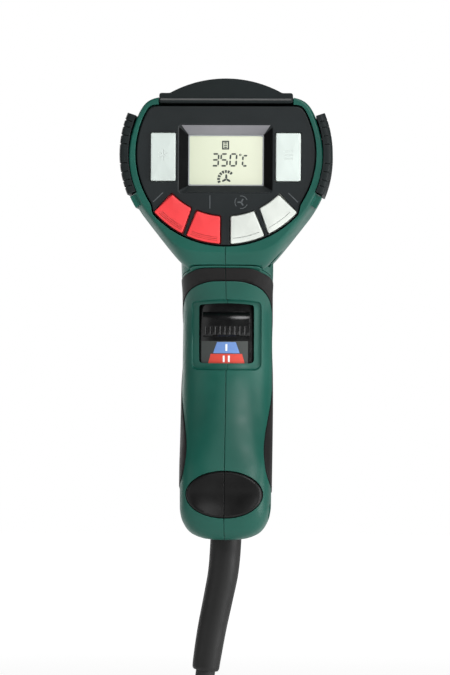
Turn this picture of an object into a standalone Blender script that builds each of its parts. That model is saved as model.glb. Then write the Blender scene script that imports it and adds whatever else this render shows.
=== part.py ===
"""Hand-held electric heat gun with a rear control panel, as an assembly of separate pieces.

Metres, +Z up. The barrel blows along +Y, the control panel faces -Y, and the origin is the
centre of the hand grip. Inside this file lengths are written in millimetres and turned into
metres by MM. "Depth" is the distance forward of the rear plane, on which the gun can stand.
"""

import math

import bmesh
import bpy
from mathutils import Matrix, Vector

MM = 0.001

# ---- driving dimensions, in millimetres ----
AXIS_Z = 95.0  # barrel axis above the grip centre
REAR_Y = -34.0  # rear standing plane, behind the grip centre
LENGTH = 255.0  # rear plane to the tip of the outlet
GAP = 0.3  # clearance between touching pieces
WALL = 2.5  # housing wall
HEAD_R_UP = 41.0  # head radius above the side covers
HEAD_R_LOW = 44.0  # head radius below them
HEAD_TOP = 24.3  # flat top of the head above the axis
NECK_ANGLE = 38.0  # where the head's sides leave the circle towards the handle
BARREL_R = 31.0
BARREL_END = 165.0  # front edge of the housing
HANDLE_BOTTOM = -163.5  # below the axis
PANEL_R = 38.0
PANEL_LOW_R = 41.4  # the lower edge is a wider arc, struck from above the axis
PANEL_LOW_RISE = 2.5
PANEL_TOP = 20.4
COVER_R = 45.1
COVER_HALF_ANGLE = 23.0
COVER_LENGTH = 46.0
OUTLET_R = 17.0
HEATER_R = 24.5
FAN_R = 25.0
MOTOR_R = 16.5
SWITCH_TRAVEL = 10.0  # from stage II at the top down to off
CORD_D = 8.5
RING_STEPS = 36  # points round a housing section


def place(x, depth, z):
    """Millimetres across, forward of the rear plane and above the barrel axis, to metres."""
    return Vector((x * MM, (REAR_Y + depth) * MM, (AXIS_Z + z) * MM))


# ---- scene, collections and materials ----

for old in list(bpy.data.objects):
    bpy.data.objects.remove(old, do_unlink=True)
PARTS = bpy.data.collections.new("heat_gun")
CUTTERS = bpy.data.collections.new("cutters")
for made in (PARTS, CUTTERS):
    bpy.context.scene.collection.children.link(made)
CUTTERS.hide_render = True


def material(name, colour, roughness, metallic=0.0):
    made = bpy.data.materials.new(name)
    made.use_nodes = True
    shader = made.node_tree.nodes["Principled BSDF"]
    shader.inputs["Base Color"].default_value = (*colour, 1.0)
    shader.inputs["Roughness"].default_value = roughness
    shader.inputs["Metallic"].default_value = metallic
    return made


GREEN = material("green_plastic", (0.012, 0.085, 0.065), 0.4)
BLACK = material("black_plastic", (0.02, 0.021, 0.022), 0.45)
RUBBER = material("black_rubber", (0.016, 0.015, 0.015), 0.7)
RED_KEY = material("red_key", (0.8, 0.08, 0.06), 0.45)
WHITE_KEY = material("white_key", (0.72, 0.74, 0.72), 0.45)
LIGHT_KEY = material("light_button", (0.62, 0.66, 0.64), 0.45)
LCD = material("display_glass", (0.72, 0.77, 0.6), 0.15)
BOARD = material("circuit_board", (0.02, 0.14, 0.05), 0.5)
STEEL = material("steel", (0.6, 0.58, 0.55), 0.3, 1.0)
ZINC = material("zinc_plated", (0.5, 0.5, 0.48), 0.4, 1.0)
BRASS = material("brass", (0.75, 0.55, 0.25), 0.3, 1.0)
CERAMIC = material("ceramic", (0.8, 0.76, 0.68), 0.8)
MICA = material("mica", (0.55, 0.45, 0.3), 0.5)
WIRE = material("heating_wire", (0.35, 0.3, 0.27), 0.5, 1.0)
SILICONE = material("silicone", (0.25, 0.27, 0.28), 0.6)
ALUMINIUM = material("aluminium", (0.7, 0.7, 0.7), 0.35, 1.0)
FILTER = material("filter_mesh", (0.12, 0.12, 0.12), 0.6)
CORD_RUBBER = material("cord_rubber", (0.03, 0.03, 0.03), 0.65)


# ---- building tools ----


def keep(obj, name, paint, smooth=True):
    """Names an object as one part of the gun, gives it its material and its shading."""
    obj.name = name
    obj.data.name = name
    for home in list(obj.users_collection):
        home.objects.unlink(obj)
    PARTS.objects.link(obj)
    obj.data.materials.clear()
    obj.data.materials.append(paint)
    if smooth and obj.type == "MESH":
        obj.data.shade_smooth()
        obj.data.set_sharp_from_angle(angle=math.radians(35))
    return obj


def as_cutter(obj):
    """Puts a helper in the cutters' collection, out of every render."""
    for home in list(obj.users_collection):
        home.objects.unlink(obj)
    CUTTERS.objects.link(obj)
    obj.hide_render = True
    obj.display_type = "WIRE"
    return obj


def from_bmesh(shape, name="shape"):
    bmesh.ops.recalc_face_normals(shape, faces=shape.faces)
    mesh = bpy.data.meshes.new(name)
    shape.to_mesh(mesh)
    shape.free()
    obj = bpy.data.objects.new(name, mesh)
    bpy.context.scene.collection.objects.link(obj)
    return obj


def apply_modifiers(obj):
    """Replaces an object's mesh, or a curve, by what its modifiers make of it."""
    graph = bpy.context.evaluated_depsgraph_get()
    mesh = bpy.data.meshes.new_from_object(obj.evaluated_get(graph))
    solid = bmesh.new()
    solid.from_mesh(mesh)
    bmesh.ops.remove_doubles(solid, verts=solid.verts, dist=1e-6)
    solid.to_mesh(mesh)
    solid.free()
    made = bpy.data.objects.new(obj.name, mesh)
    bpy.context.scene.collection.objects.link(made)
    made.matrix_world = obj.matrix_world
    bpy.data.objects.remove(obj)
    return made


def boolean(obj, others, operation):
    """Cuts, joins or intersects with each of the others in turn, and applies the result."""
    for other in others:
        cut = obj.modifiers.new("cut", "BOOLEAN")
        cut.object = other
        cut.operation = operation
        cut.solver = "EXACT"
        bpy.context.view_layer.update()
        made = apply_modifiers(obj)
        obj = made
    for other in others:
        as_cutter(other)
    return obj


def cut(obj, *others):
    return boolean(obj, others, "DIFFERENCE")


def join(obj, *others):
    return boolean(obj, others, "UNION")


def common(obj, other):
    return boolean(obj, [other], "INTERSECT")


def box(x, depth, z, rounding=0.0, segments=2):
    """A box between pairs of limits, its edges rounded if asked."""
    shape = bmesh.new()
    low = place(x[0], depth[0], z[0])
    high = place(x[1], depth[1], z[1])
    bmesh.ops.create_cube(shape, size=1.0)
    middle = (low + high) / 2
    for vertex in shape.verts:
        vertex.co = middle + Vector(a * b for a, b in zip(vertex.co, high - low))
    if rounding:
        edges = shape.edges[:]
        bmesh.ops.bevel(shape, geom=edges, offset=rounding * MM, segments=segments, affect="EDGES")
    return from_bmesh(shape)


def rod(start, end, radius, steps=20, far_radius=None):
    """A cylinder or cone between two points in metres."""
    shape = bmesh.new()
    start = Vector(start)
    axis = Vector(end) - start
    turn = Vector((0, 0, 1)).rotation_difference(axis.normalized()).to_matrix().to_4x4()
    bmesh.ops.create_cone(
        shape,
        cap_ends=True,
        segments=steps,
        radius1=radius * MM,
        radius2=(radius if far_radius is None else far_radius) * MM,
        depth=axis.length,
        matrix=Matrix.Translation(start + axis / 2) @ turn,
    )
    return from_bmesh(shape)


def turned(profile, steps, x=0.0, z=0.0, name="turned"):
    """A profile of (radius, depth) points turned about a line along the barrel."""
    mesh = bpy.data.meshes.new(name)
    points = [(radius * MM, 0.0, -depth * MM) for radius, depth in profile]
    edges = [(i, i + 1) for i in range(len(points) - 1)]
    closed = profile[0][0] > 0.0
    if closed:
        edges.append((len(points) - 1, 0))
    mesh.from_pydata(points, edges, [])
    obj = bpy.data.objects.new(name, mesh)
    bpy.context.scene.collection.objects.link(obj)
    screw = obj.modifiers.new("turn", "SCREW")
    screw.steps = steps
    screw.render_steps = steps
    screw.use_merge_vertices = True
    screw.merge_threshold = 1e-5
    obj.rotation_euler = (math.radians(90), 0, 0)
    obj.location = place(x, 0.0, z)
    bpy.context.view_layer.update()
    made = apply_modifiers(obj)
    made.data.transform(made.matrix_world)
    made.matrix_world = Matrix.Identity(4)
    shape = bmesh.new()
    shape.from_mesh(made.data)
    bpy.data.objects.remove(made)
    return from_bmesh(shape, name)


def plate(outline, depth, name="plate"):
    """A flat outline of (x, z) points, facing along the barrel, as thick as the depth range."""
    along = Vector((0, (depth[1] - depth[0]) * MM, 0))
    return prism([place(x, depth[0], z) for x, z in outline], along, name)


def side_plate(outline, x, name="plate"):
    """A flat outline of (depth, z) points, facing sideways, between two values of x."""
    along = Vector(((x[1] - x[0]) * MM, 0, 0))
    return prism([place(x[0], d, z) for d, z in outline], along, name)


def floor_plate(outline, z, name="plate"):
    """A flat outline of (x, depth) points, facing up, between two heights."""
    along = Vector((0, 0, (z[1] - z[0]) * MM))
    return prism([place(x, d, z[0]) for x, d in outline], along, name)


def prism(points, along, name):
    shape = bmesh.new()
    face = shape.faces.new([shape.verts.new(point) for point in points])
    moved = bmesh.ops.extrude_face_region(shape, geom=[face])["geom"]
    lifted = [item for item in moved if isinstance(item, bmesh.types.BMVert)]
    bmesh.ops.translate(shape, vec=along, verts=lifted)
    return from_bmesh(shape, name)


def loft(sections, name):
    """A closed skin over rings of points, each ring with as many points as the next."""
    shape = bmesh.new()
    rings = [[shape.verts.new(point) for point in ring] for ring in sections]
    count = len(rings[0])
    for lower, upper in zip(rings, rings[1:]):
        for i in range(count):
            j = (i + 1) % count
            shape.faces.new((lower[i], lower[j], upper[j], upper[i]))
    shape.faces.new(rings[0][::-1])
    shape.faces.new(rings[-1])
    return from_bmesh(shape, name)


def tube(points, radius, sides=2, name="tube"):
    """A round wire or cord through points in metres, with closed ends."""
    data = bpy.data.curves.new(name, "CURVE")
    data.dimensions = "3D"
    spline = data.splines.new("POLY")
    spline.points.add(len(points) - 1)
    for made, point in zip(spline.points, points):
        made.co = (*point, 1.0)
    data.bevel_depth = radius * MM
    data.bevel_resolution = sides
    data.use_fill_caps = True
    obj = bpy.data.objects.new(name, data)
    bpy.context.scene.collection.objects.link(obj)
    return obj


def arc(centre, radius, start, end, steps):
    """Points on an arc in a plane, between two angles in degrees."""
    angles = [math.radians(start + (end - start) * i / steps) for i in range(steps + 1)]
    return [(centre[0] + radius * math.cos(a), centre[1] + radius * math.sin(a)) for a in angles]


def blend(table, at):
    """Reads a smooth value from (station, value) pairs."""
    if at <= table[0][0]:
        return table[0][1]
    for (a, low), (b, high) in zip(table, table[1:]):
        if at <= b:
            share = (at - a) / (b - a)
            return low + (high - low) * share * share * (3 - 2 * share)
    return table[-1][1]


def straight(table, at):
    """Reads a value from (station, value) pairs along straight lines."""
    if at <= table[0][0]:
        return table[0][1]
    for (a, low), (b, high) in zip(table, table[1:]):
        if at <= b:
            return low + (high - low) * (at - a) / (b - a)
    return table[-1][1]


# ---- the housing's outer form ----
# Head and barrel: sections across the barrel, as a radius for each direction.

# Each table gives a value at a depth: the radius above and below the covers, the lowest and
# highest the skin may reach, and the angle at which the sides turn towards the neck.

BARREL_FRONT = [(130, BARREL_R + 0.5), (166, BARREL_R)]
HEAD_UP = [(0.6, 40.3), (4, 40.8), (12, HEAD_R_UP), (66, 40.4), (100, 34.0), *BARREL_FRONT]
HEAD_LOW = [(0.6, 41.3), (4, 42.6), (14, HEAD_R_LOW), (62, 43.4), (100, 35.0), *BARREL_FRONT]
HEAD_FLOOR = [
    (0.6, 42.0), (1.8, 43.8), (3.4, 46.2), (5.6, 49.4), (8.4, 52.6), (56, 52.6), (64, 49.6), (68, 46.8),
    (84, 43.0), (104, 37.5), (130, 38.0), (166, 40.0),
]
HEAD_CEILING = [
    (0.6, HEAD_TOP), (60, HEAD_TOP), (64, 29.0), (72, 31.2),
    (100, 32.5), (130, 36.0), (166, 40.0),
]
NECK_TURN = [(0.6, NECK_ANGLE), (62, NECK_ANGLE), (112, 86.0), (166, 90.0)]


LEVEL = 0.05  # sine of the direction below which the floor and ceiling have no say
SHARPNESS = 14.0  # how tightly the skin turns where it meets the floor or the ceiling


def head_radius(angle, depth, inset):
    """How far the head reaches from the barrel axis in a direction, in radians from +X."""
    rise = math.sin(angle)
    share = min(1.0, max(0.0, (rise + 0.4) / 0.8))
    share = share * share * (3 - 2 * share)
    low = blend(HEAD_LOW, depth) - inset
    up = blend(HEAD_UP, depth) - inset
    radius = low + (up - low) * share
    turn = math.radians(blend(NECK_TURN, depth))
    below = math.asin(max(-1.0, min(1.0, -rise)))
    if below > turn:
        radius = radius / math.cos(below - turn)
    limits = [radius]
    if rise > LEVEL:
        limits.append((blend(HEAD_CEILING, depth) - inset) / rise)
    if rise < -LEVEL:
        limits.append((straight(HEAD_FLOOR, depth) - inset) / -rise)
    return sum(limit ** -SHARPNESS for limit in limits) ** (-1 / SHARPNESS)


def head_ring(depth, inset, steps, at=None):
    angles = [2 * math.pi * (i + 0.5) / steps for i in range(steps)]
    where = depth if at is None else at
    reach = [head_radius(a, depth, inset) for a in angles]
    return [place(r * math.cos(a), where, r * math.sin(a)) for a, r in zip(angles, reach)]


def head_solid(inset, depths, steps, name, ends=(None, None)):
    places = [None] * len(depths)
    places[0], places[-1] = ends
    return loft([head_ring(d, inset, steps, at) for d, at in zip(depths, places)], name)


# Handle: sections level with the ground, as a rounded oval between a rear and a front line.

# Each table gives a value at a height: the rear line, the front line and the half width.

HANDLE_REAR = [
    (HANDLE_BOTTOM, 6.0), (-158, 2.4), (-150, 0.7), (-142, 0.9), (-134, 3.0), (-124, 6.8),
    (-108, 12.4), (-90, 15.8), (-75, 15.6), (-66, 14.6), (-60, 12.4), (-54, 9.0), (-50, 6.4),
    (-46, 3.9), (-42, 2.2), (-36, 1.6),
]
HANDLE_FRONT = [
    (HANDLE_BOTTOM, 44.0), (-155, 47.5), (-140, 48.5), (-120, 50.0), (-100, 52.0),
    (-80, 53.0), (-66, 55.5), (-54, 60.5), (-46, 66.0), (-36, 68),
]
HANDLE_WIDE = [
    (HANDLE_BOTTOM, 10.2), (-163, 11.6), (-161, 14.9), (-158, 17.3), (-154, 18.9), (-150, 19.4),
    (-110, 19.6), (-85, 19.3), (-60, 19.2), (-50, 19.6), (-36, 19.6),
]
MIDDLE_SHARE = 0.44  # the widest line, as a share of the way from the rear to the front
SQUARENESS = 0.86  # 1 is an ellipse; less is squarer
REAR_SQUARENESS = [
    (HANDLE_BOTTOM, 0.56), (-154, 0.46), (-134, 0.46), (-118, 0.72), (-100, SQUARENESS),
    (-68, SQUARENESS), (-58, 0.7), (-47, 0.5), (-36, 0.4),
]


def handle_point(z, turn, inset):
    """A point on the handle's skin: turn 0 is its right side and a quarter turn on its rear."""
    rear = straight(HANDLE_REAR, z) + inset
    front = straight(HANDLE_FRONT, z) - inset
    wide = straight(HANDLE_WIDE, z) - inset
    middle = rear + (front - rear) * MIDDLE_SHARE
    across = math.cos(turn)
    along = math.sin(turn)
    power = straight(REAR_SQUARENESS, z) if along > 0 else SQUARENESS
    x = wide * math.copysign(abs(across) ** power, across)
    reach = (middle - rear) if along > 0 else (front - middle)
    depth = middle - reach * math.copysign(abs(along) ** power, along)
    return x, depth


def handle_ring(z, inset, steps, at=None):
    turns = [2 * math.pi * (i + 0.5) / steps for i in range(steps)]
    points = [handle_point(z, turn, inset) for turn in turns]
    return [place(x, depth, z if at is None else at) for x, depth in points]


HANDLE_STATIONS = [
    -36, -44, -50, -60, -75, -92, -108, -120, -132, -142, -150, -154, -158, -161, -163, HANDLE_BOTTOM,
]


def handle_solid(inset, steps, name, stations=None, top=None):
    stations = stations or HANDLE_STATIONS
    rings = [handle_ring(z, inset, steps) for z in stations]
    rings[0] = handle_ring(stations[0], inset, steps, top)
    return loft(rings, name)


# ---- outlines used by several pieces ----


def panel_outline(grow):
    """The control panel: a circle cut level at the top, with a wider arc along its lower edge."""
    side = PANEL_R + grow
    top = PANEL_TOP + grow
    lower = PANEL_LOW_R + grow
    high = math.degrees(math.asin((top - 2.5) / side))
    half = 50.0
    points = arc((0, 0), side, high, -36, 14)
    points += arc((0, PANEL_LOW_RISE), lower, -90 + half, -90 - half, 20)
    points += arc((0, 0), side, 216, 180 - high, 14)
    corner = side * math.cos(math.radians(high)) - 2.5
    points += [(-corner, top), (corner, top)]
    return points


INNER_ARC = ((0.0, 5.5), 32.0)
OUTER_ARC = ((0.0, 2.5), 40.5)


def key_outline(side, inner, outer, grow):
    """A key between two arcs, its corners given by how far across each one lies."""
    (_, rise_in), reach_in = INNER_ARC
    (_, rise_out), reach_out = OUTER_ARC
    reach_in -= grow
    reach_out += grow
    spans = [(inner[0] - grow, inner[1] + grow), (outer[1] + grow, outer[0] - grow)]
    rules = [(rise_in, reach_in), (rise_out, reach_out)]
    points = []
    for (start, end), (rise, reach) in zip(spans, rules):
        for i in range(6):
            x = start + (end - start) * i / 5
            points.append((side * x, rise - math.sqrt(reach * reach - x * x)))
    return points


INNER_KEY = ((2.3, 12.0), (2.3, 16.4))
OUTER_KEY = ((14.5, 22.4), (18.3, 30.1))
BUTTON = ((21.2, 31.6), (-11.5, 8.7))


def button_outline(side, grow):
    (x0, x1), (z0, z1) = BUTTON
    x0, x1, z0, z1 = x0 - grow, x1 + grow, z0 - grow, z1 + grow
    return [(side * x0, z0), (side * x1, z0), (side * x1, z1), (side * x0, z1)]


KEYS = {
    "temperature_down_key": (key_outline, -1, OUTER_KEY, RED_KEY),
    "temperature_up_key": (key_outline, -1, INNER_KEY, RED_KEY),
    "airflow_down_key": (key_outline, 1, INNER_KEY, WHITE_KEY),
    "airflow_up_key": (key_outline, 1, OUTER_KEY, WHITE_KEY),
    "cool_air_button": (button_outline, -1, (), LIGHT_KEY),
    "program_button": (button_outline, 1, (), LIGHT_KEY),
}

SLIDER_TOP = -57.0
SLIDER_END = -98.0
SLIDER_BOW = 28.0  # radius of the slider's face, which bows towards the thumb


def slider_arc(depth, half):
    """Points across the handle on the slider's bowed face, (x, depth)."""
    xs = [half * (i / 5 - 1) for i in range(11)]
    return [(x, depth + SLIDER_BOW - math.sqrt(SLIDER_BOW ** 2 - x * x)) for x in xs]


# The rubber grip from the side, as (depth, height): along its top, then back round its cheek.
GRIP_UPPER = [
    (-4, -48.0), (5, -48.2), (6.8, -48.7), (9.6, -49.7), (13.4, -50.8), (20, -52.4),
    (30, -54.6), (60, -59.5), (74, -62.0),
]
GRIP_LOWER = [
    (74, -149.0), (50, -148.0), (38, -146.6), (28, -144.6), (18, -142.2), (11.5, -140.4),
    (8.2, -138.4), (7.0, -135.2), (7.4, -131.6), (9.6, -126.8), (13.2, -121.2), (18.2, -114.0),
    (25.0, -105.0), (32.0, -96.5), (36.6, -88.0), (37.8, -79.0), (35.8, -72.0), (31.0, -66.5),
    (25, -62.0), (17.6, -58.0), (13.7, -55.9), (10.3, -54.2), (8.4, -53.0), (-4, -52.6),
]


def grip_outline(grow):
    """The grip's outline: a band round the neck, the finger side, and a cheek at the rear."""
    points = GRIP_UPPER + GRIP_LOWER
    if not grow:
        return points
    moved = []
    count = len(points)
    for i, (d, z) in enumerate(points):
        before = points[i - 1]
        after = points[(i + 1) % count]
        along = Vector((after[0] - before[0], after[1] - before[1])).normalized()
        moved.append((d - along.y * grow, z + along.x * grow))
    return moved


def sector(radii, angles, depth, steps):
    """A curved plate round the barrel axis, between two radii and two angles in degrees."""
    outer = arc((0, 0), radii[1], angles[0], angles[1], steps)
    inner = arc((0, 0), radii[0], angles[1], angles[0], steps)
    return plate(outer + inner, depth)


def oval(half_x, half_z, grow, steps=28):
    turns = [2 * math.pi * i / steps for i in range(steps)]
    return [((half_x + grow) * math.cos(t), FOOT_Z + (half_z + grow) * math.sin(t)) for t in turns]


FOOT_Z = -143.9
FOOT_HALF = (16.2, 9.8)
SCREWS = {"neck": (13.0, -44.0), "handle": (12.5, -151.5), "head": (72.0, -39.5), "barrel": (98.0, -31.6)}
SIDES = {"left": -1, "right": 1}


def half_of(obj, side):
    """The part of a solid on one side of the parting plane, with half the gap taken off."""
    near = GAP / 2
    limits = (near, 80.0) if side > 0 else (-80.0, -near)
    return common(obj, box(limits, (-20, 300), (-200, 60)))


def copy_of(obj):
    made = obj.copy()
    made.data = obj.data.copy()
    bpy.context.scene.collection.objects.link(made)
    return made


# ---- housing ----


def housing_body():
    """Both halves in one, hollow and with every opening, before it is parted."""
    depths = [0.6, 3, 6, 10, 14, 40, 60, 64, 72, 84, 100, 115, 130, 150, BARREL_END]
    body = head_solid(0.0, depths, RING_STEPS, "head")
    body = join(body, handle_solid(0.0, 28, "handle"))
    for side in SIDES.values():
        angles = (-31, -24.2) if side > 0 else (204.2, 211)
        body = join(body, sector((36, 44.4), angles, (2.5, 20), 2))
    inner_depths = [4.2, 10, 40, 60, 66, 74, 86, 100, 115, 130, 150, BARREL_END + 2]
    head_room = head_solid(WALL, inner_depths, 30, "head_room")
    stations = [-39, -50, -60, -75, -92, -108, -120, -132, -142, -150, -156, -161]
    handle_room = handle_solid(WALL, 20, "handle_room", stations)
    rooms = join(head_room, handle_room)
    for depth, z in SCREWS.values():
        rooms = cut(rooms, rod(place(-60, depth, z), place(60, depth, z), 4.0, 14))
    body = cut(body, rooms, plate(panel_outline(GAP), (-3, 4.4)))
    body = cut(body, box((-28.5, 28.5), (-3, 7), (PANEL_TOP - 1, 40)))
    for side in SIDES.values():
        angles = (-COVER_HALF_ANGLE - 0.5, COVER_HALF_ANGLE + 0.5)
        angles = angles if side > 0 else (180 + angles[0], 180 + angles[1])
        body = cut(body, sector((40.9, 60), angles, (-3, COVER_LENGTH + GAP), 12))
        limits = sorted((side * 30, side * 60))
        body = cut(body, box(limits, (9, 40), (-12.5, 12.5)))
    body = cut(body, switch_window(), grip_room(), plate(oval(*FOOT_HALF, GAP), (-3, 3.2)))
    hole_top = place(0, CORD_DEPTH, -150)
    hole_end = place(0, CORD_DEPTH, -175)
    return cut(body, rod(hole_top, hole_end, 7.2, 20))


def switch_window():
    """The thumb window's hole, arched at the top, with a wide chamfer at the handle's skin."""
    hole_top = arc((0, -79.5), 17.6, 60, 120, 6)
    hole = [(-12, -88.3), (12, -88.3), (12, -64.6), *hole_top, (-12, -64.6)]
    mouth_top = arc((0, -82.5), 21.8, 62, 118, 6)
    mouth = [(-15.2, -91.9), (15.2, -91.9), (15.2, -64.2), *mouth_top, (-15.2, -64.2)]
    rings = [
        [place(x, 10.0, z) for x, z in mouth],
        [place(x, 19.6, z) for x, z in hole],
        [place(x, 23.5, z) for x, z in hole],
    ]
    return loft(rings, "window")


def grip_room():
    """What the rubber grip takes out of the handle's skin."""
    whole = side_plate(grip_outline(GAP), (-40, 40))
    stations = [-42, -50, -56, -66, -80, -95, -110, -124, -134, -142, -150, -156]
    return cut(whole, handle_solid(1.7, 24, "grip_bed", stations))


CORD_DEPTH = 26.0


def build_housing():
    body = housing_body()
    for name, side in SIDES.items():
        shell = half_of(copy_of(body), side)
        for depth, z in SCREWS.values():
            tip = -11.0
            shell = cut(shell, rod(place(tip, depth, z), place(60, depth, z), 1.7, 12))
            if side > 0:
                shell = cut(shell, rod(place(12.5, depth, z), place(60, depth, z), 3.6, 14))
        keep(shell, f"housing_{name}", GREEN)
    as_cutter(body)
    for name, (depth, z) in SCREWS.items():
        shank = rod(place(-9, depth, z), place(13.5, depth, z), 1.4, 10)
        head = rod(place(12.8, depth, z), place(15.6, depth, z), 3.2, 14)
        slot = rod(place(14.2, depth, z), place(17, depth, z), 1.3, 6)
        keep(cut(join(shank, head), slot), f"housing_screw_{name}", ZINC)


def build_grips():
    stations = [-44, -50, -56, -66, -80, -95, -110, -124, -134, -142, -150, -156]
    bed = handle_solid(1.4, 24, "bed", [-30, *stations, -170])
    skin = cut(handle_solid(-0.3, 28, "skin", stations), bed)
    skin = common(skin, side_plate(grip_outline(0.0), (-40, 40)))
    for name, side in SIDES.items():
        keep(half_of(copy_of(skin), side), f"grip_{name}", RUBBER)
    as_cutter(skin)
    pad = plate(oval(*FOOT_HALF, 0.0), (0.0, 2.9))
    for name, side in SIDES.items():
        keep(half_of(copy_of(pad), side), f"foot_pad_{name}", RUBBER)
    as_cutter(pad)


# ---- head: hood, side covers, panel, keys and electronics ----


def build_covers():
    arch = arc((0, -17.3), 49.0, 61, 119, 12)
    bar = plate([(-28.2, 21.3), (28.2, 21.3), (28.2, 25.6), *arch, (-28.2, 25.6)], (0.0, 6.6))
    front = [(23.6, 24.6), *arch, (-23.6, 24.6)]
    slope = [(x, 24.6 + max(0.0, z - 24.6) * 0.82) for x, z in front]
    ends = [(5.0, front), (49.0, front), (59.6, slope)]
    rings = [[place(x, depth, z) for x, z in outline] for depth, outline in ends]
    hood = join(bar, loft(rings, "hood_top"))
    hood = cut(hood, box((-21, 21), (9, 58), (24.0, 25.7)))
    keep(hood, "top_hood", BLACK)
    for name, side in SIDES.items():
        turn = 0 if side > 0 else 180
        angles = (turn - COVER_HALF_ANGLE, turn + COVER_HALF_ANGLE)
        cover = sector((41.2, COVER_R), angles, (0.0, COVER_LENGTH), 12)
        for angle in (-18.0, -7.6, 7.6, 18.0):
            middle = turn + angle
            groove = (middle - 1.3, middle + 1.3)
            cover = cut(cover, sector((42.7, 50), groove, (-2, COVER_LENGTH - 3), 1))
        for angle in (-12.6, 0.0, 12.6):
            middle = turn + angle
            cover = cut(cover, sector((39, 50), (middle - 1.5, middle + 1.5), (10, 38), 1))
        keep(cover, f"intake_cover_{name}", BLACK)
        mesh = sector((37.0, 38.0), (turn - 19, turn + 19), (14.5, 42), 8)
        keep(mesh, f"intake_filter_{name}", FILTER)


PANEL_FRONT = 1.4
KEY_FACE = 0.3


def build_panel():
    panel = plate(panel_outline(0.0), (PANEL_FRONT, PANEL_FRONT + 2))
    panel = join(panel, box((-20.2, 20.2), (3.0, 6.2), (-17.4, 12.9)))
    bosses = [(-30.0, 14.0), (30.0, 14.0)]
    for x, z in bosses:
        panel = join(panel, rod(place(x, 3.0, z), place(x, 10.6, z), 2.6, 12))
        panel = cut(panel, rod(place(x, 4.6, z), place(x, 12.0, z), 1.5, 10))
    mouth = [(-19.7, -16.4), (19.7, -16.4), (19.7, 12.1), (-19.7, 12.1)]
    sill = [(-16.1, -13.5), (16.1, -13.5), (16.1, 8.3), (-16.1, 8.3)]
    levels = [(0.6, mouth), (4.8, sill), (5.4, sill)]
    funnel = [[place(x, depth, z) for x, z in outline] for depth, outline in levels]
    panel = cut(panel, loft(funnel, "funnel"), box((-17.6, 17.6), (5.0, 7.0), (-15.0, 9.8)))
    for outline, side, corners, _ in KEYS.values():
        panel = cut(panel, plate(outline(side, *corners, 0.4), (0, 5)))
    keep(panel, "control_panel", BLACK)
    keep(box((-17.2, 17.2), (5.3, 6.2), (-14.6, 9.4)), "display_window", LCD, smooth=False)
    keep(box((-18.4, 18.4), (6.6, 10.4), (-16.0, 11.0)), "display_module", LCD, smooth=False)
    for name, (outline, side, corners, paint) in KEYS.items():
        key = plate(outline(side, *corners, 0.0), (KEY_FACE, 4.2))
        key = join(key, plate(outline(side, *corners, 0.6), (3.8, 5.2)))
        keep(key, name, paint)
    mat = plate(panel_outline(-3.6), (6.6, 7.8))
    mat = cut(mat, box((-20.6, 20.6), (5, 9), (-18.2, 13.2)))
    for x, z in bosses:
        mat = cut(mat, rod(place(x, 5, z), place(x, 9, z), 3.1, 12))
    keep(mat, "key_mat", SILICONE)
    board = plate(panel_outline(-2.2), (11.0, 12.6))
    for x, z in bosses:
        board = cut(board, rod(place(x, 10, z), place(x, 14, z), 1.5, 10))
    keep(board, "control_board", BOARD)
    for name, (x, z) in zip(SIDES, bosses):
        shank = rod(place(x, 5.6, z), place(x, 13.4, z), 1.1, 8)
        head = rod(place(x, 12.9, z), place(x, 14.4, z), 2.4, 12)
        keep(join(shank, head), f"board_screw_{name}", ZINC)


# ---- fan, motor and heater ----


def build_blower():
    outside = [(4.3, 24), (MOTOR_R, 24), (MOTOR_R, 58), (4.3, 58)]
    inside = [(4.3, 56), (MOTOR_R - 1.5, 56), (MOTOR_R - 1.5, 26), (4.3, 26)]
    keep(turned(outside + inside, 28), "motor_can", ZINC)
    for name, depth in (("rear", 23.2), ("front", 55.6)):
        end = depth + 3.2
        bearing = turned([(1.9, depth), (4.0, depth), (4.0, end), (1.9, end)], 16)
        keep(bearing, f"motor_bearing_{name}", BRASS)
    keep(turned([(0, 20), (1.6, 20), (1.6, 80), (0, 80)], 16), "motor_shaft", STEEL)
    keep(turned([(1.9, 28), (13.6, 28), (13.6, 54), (1.9, 54)], 20), "motor_armature", ZINC)
    mount = turned([(16.8, 42), (19.2, 42), (19.2, 50), (16.8, 50)], 28)
    for angle in (18, 162, 270):
        reach = 37.4 if angle == 270 else 36.5
        mount = join(mount, sector((18.0, reach), (angle - 5, angle + 5), (44, 48), 1))
    keep(mount, "motor_mount", BLACK)
    ring = [head_ring(59.0, WALL + 0.6, 30, at) for at in (60.6, 62.2)]
    shroud = cut(loft(ring, "shroud"), rod(place(0, 58, 0), place(0, 65, 0), 14.5, 24))
    shroud = cut(shroud, box((-12, 12), (55, 70), (-60, -36.5)), box((-30, 30), (55, 70), (-60, -41.8)))
    keep(shroud, "fan_inlet_plate", BLACK)
    fan = turned([(1.9, 64.5), (6.0, 64.5), (7.5, 76.0), (FAN_R, 77.4), (FAN_R, 78.6), (1.9, 78.6)], 28)
    for i in range(FAN_BLADES):
        fan = join(fan, plate(blade_outline(360 / FAN_BLADES * i), (65.5, 78.0)))
    keep(fan, "fan_impeller", BLACK)


FAN_BLADES = 9
BLADE_SWEEP = 34.0  # degrees between a blade's root and its tip
BLADE_HALF = 0.6


def blade_outline(start):
    """A swept fan blade from the hub out, both faces, starting at an angle in degrees."""
    face = []
    back = []
    for step in range(5):
        share = step / 4
        radius = 7.0 + (FAN_R - 7.6) * share
        middle = math.radians(start + BLADE_SWEEP * share ** 1.2)
        half = BLADE_HALF / radius
        face.append((radius * math.cos(middle - half), radius * math.sin(middle - half)))
        back.append((radius * math.cos(middle + half), radius * math.sin(middle + half)))
    return face + back[::-1]


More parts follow.
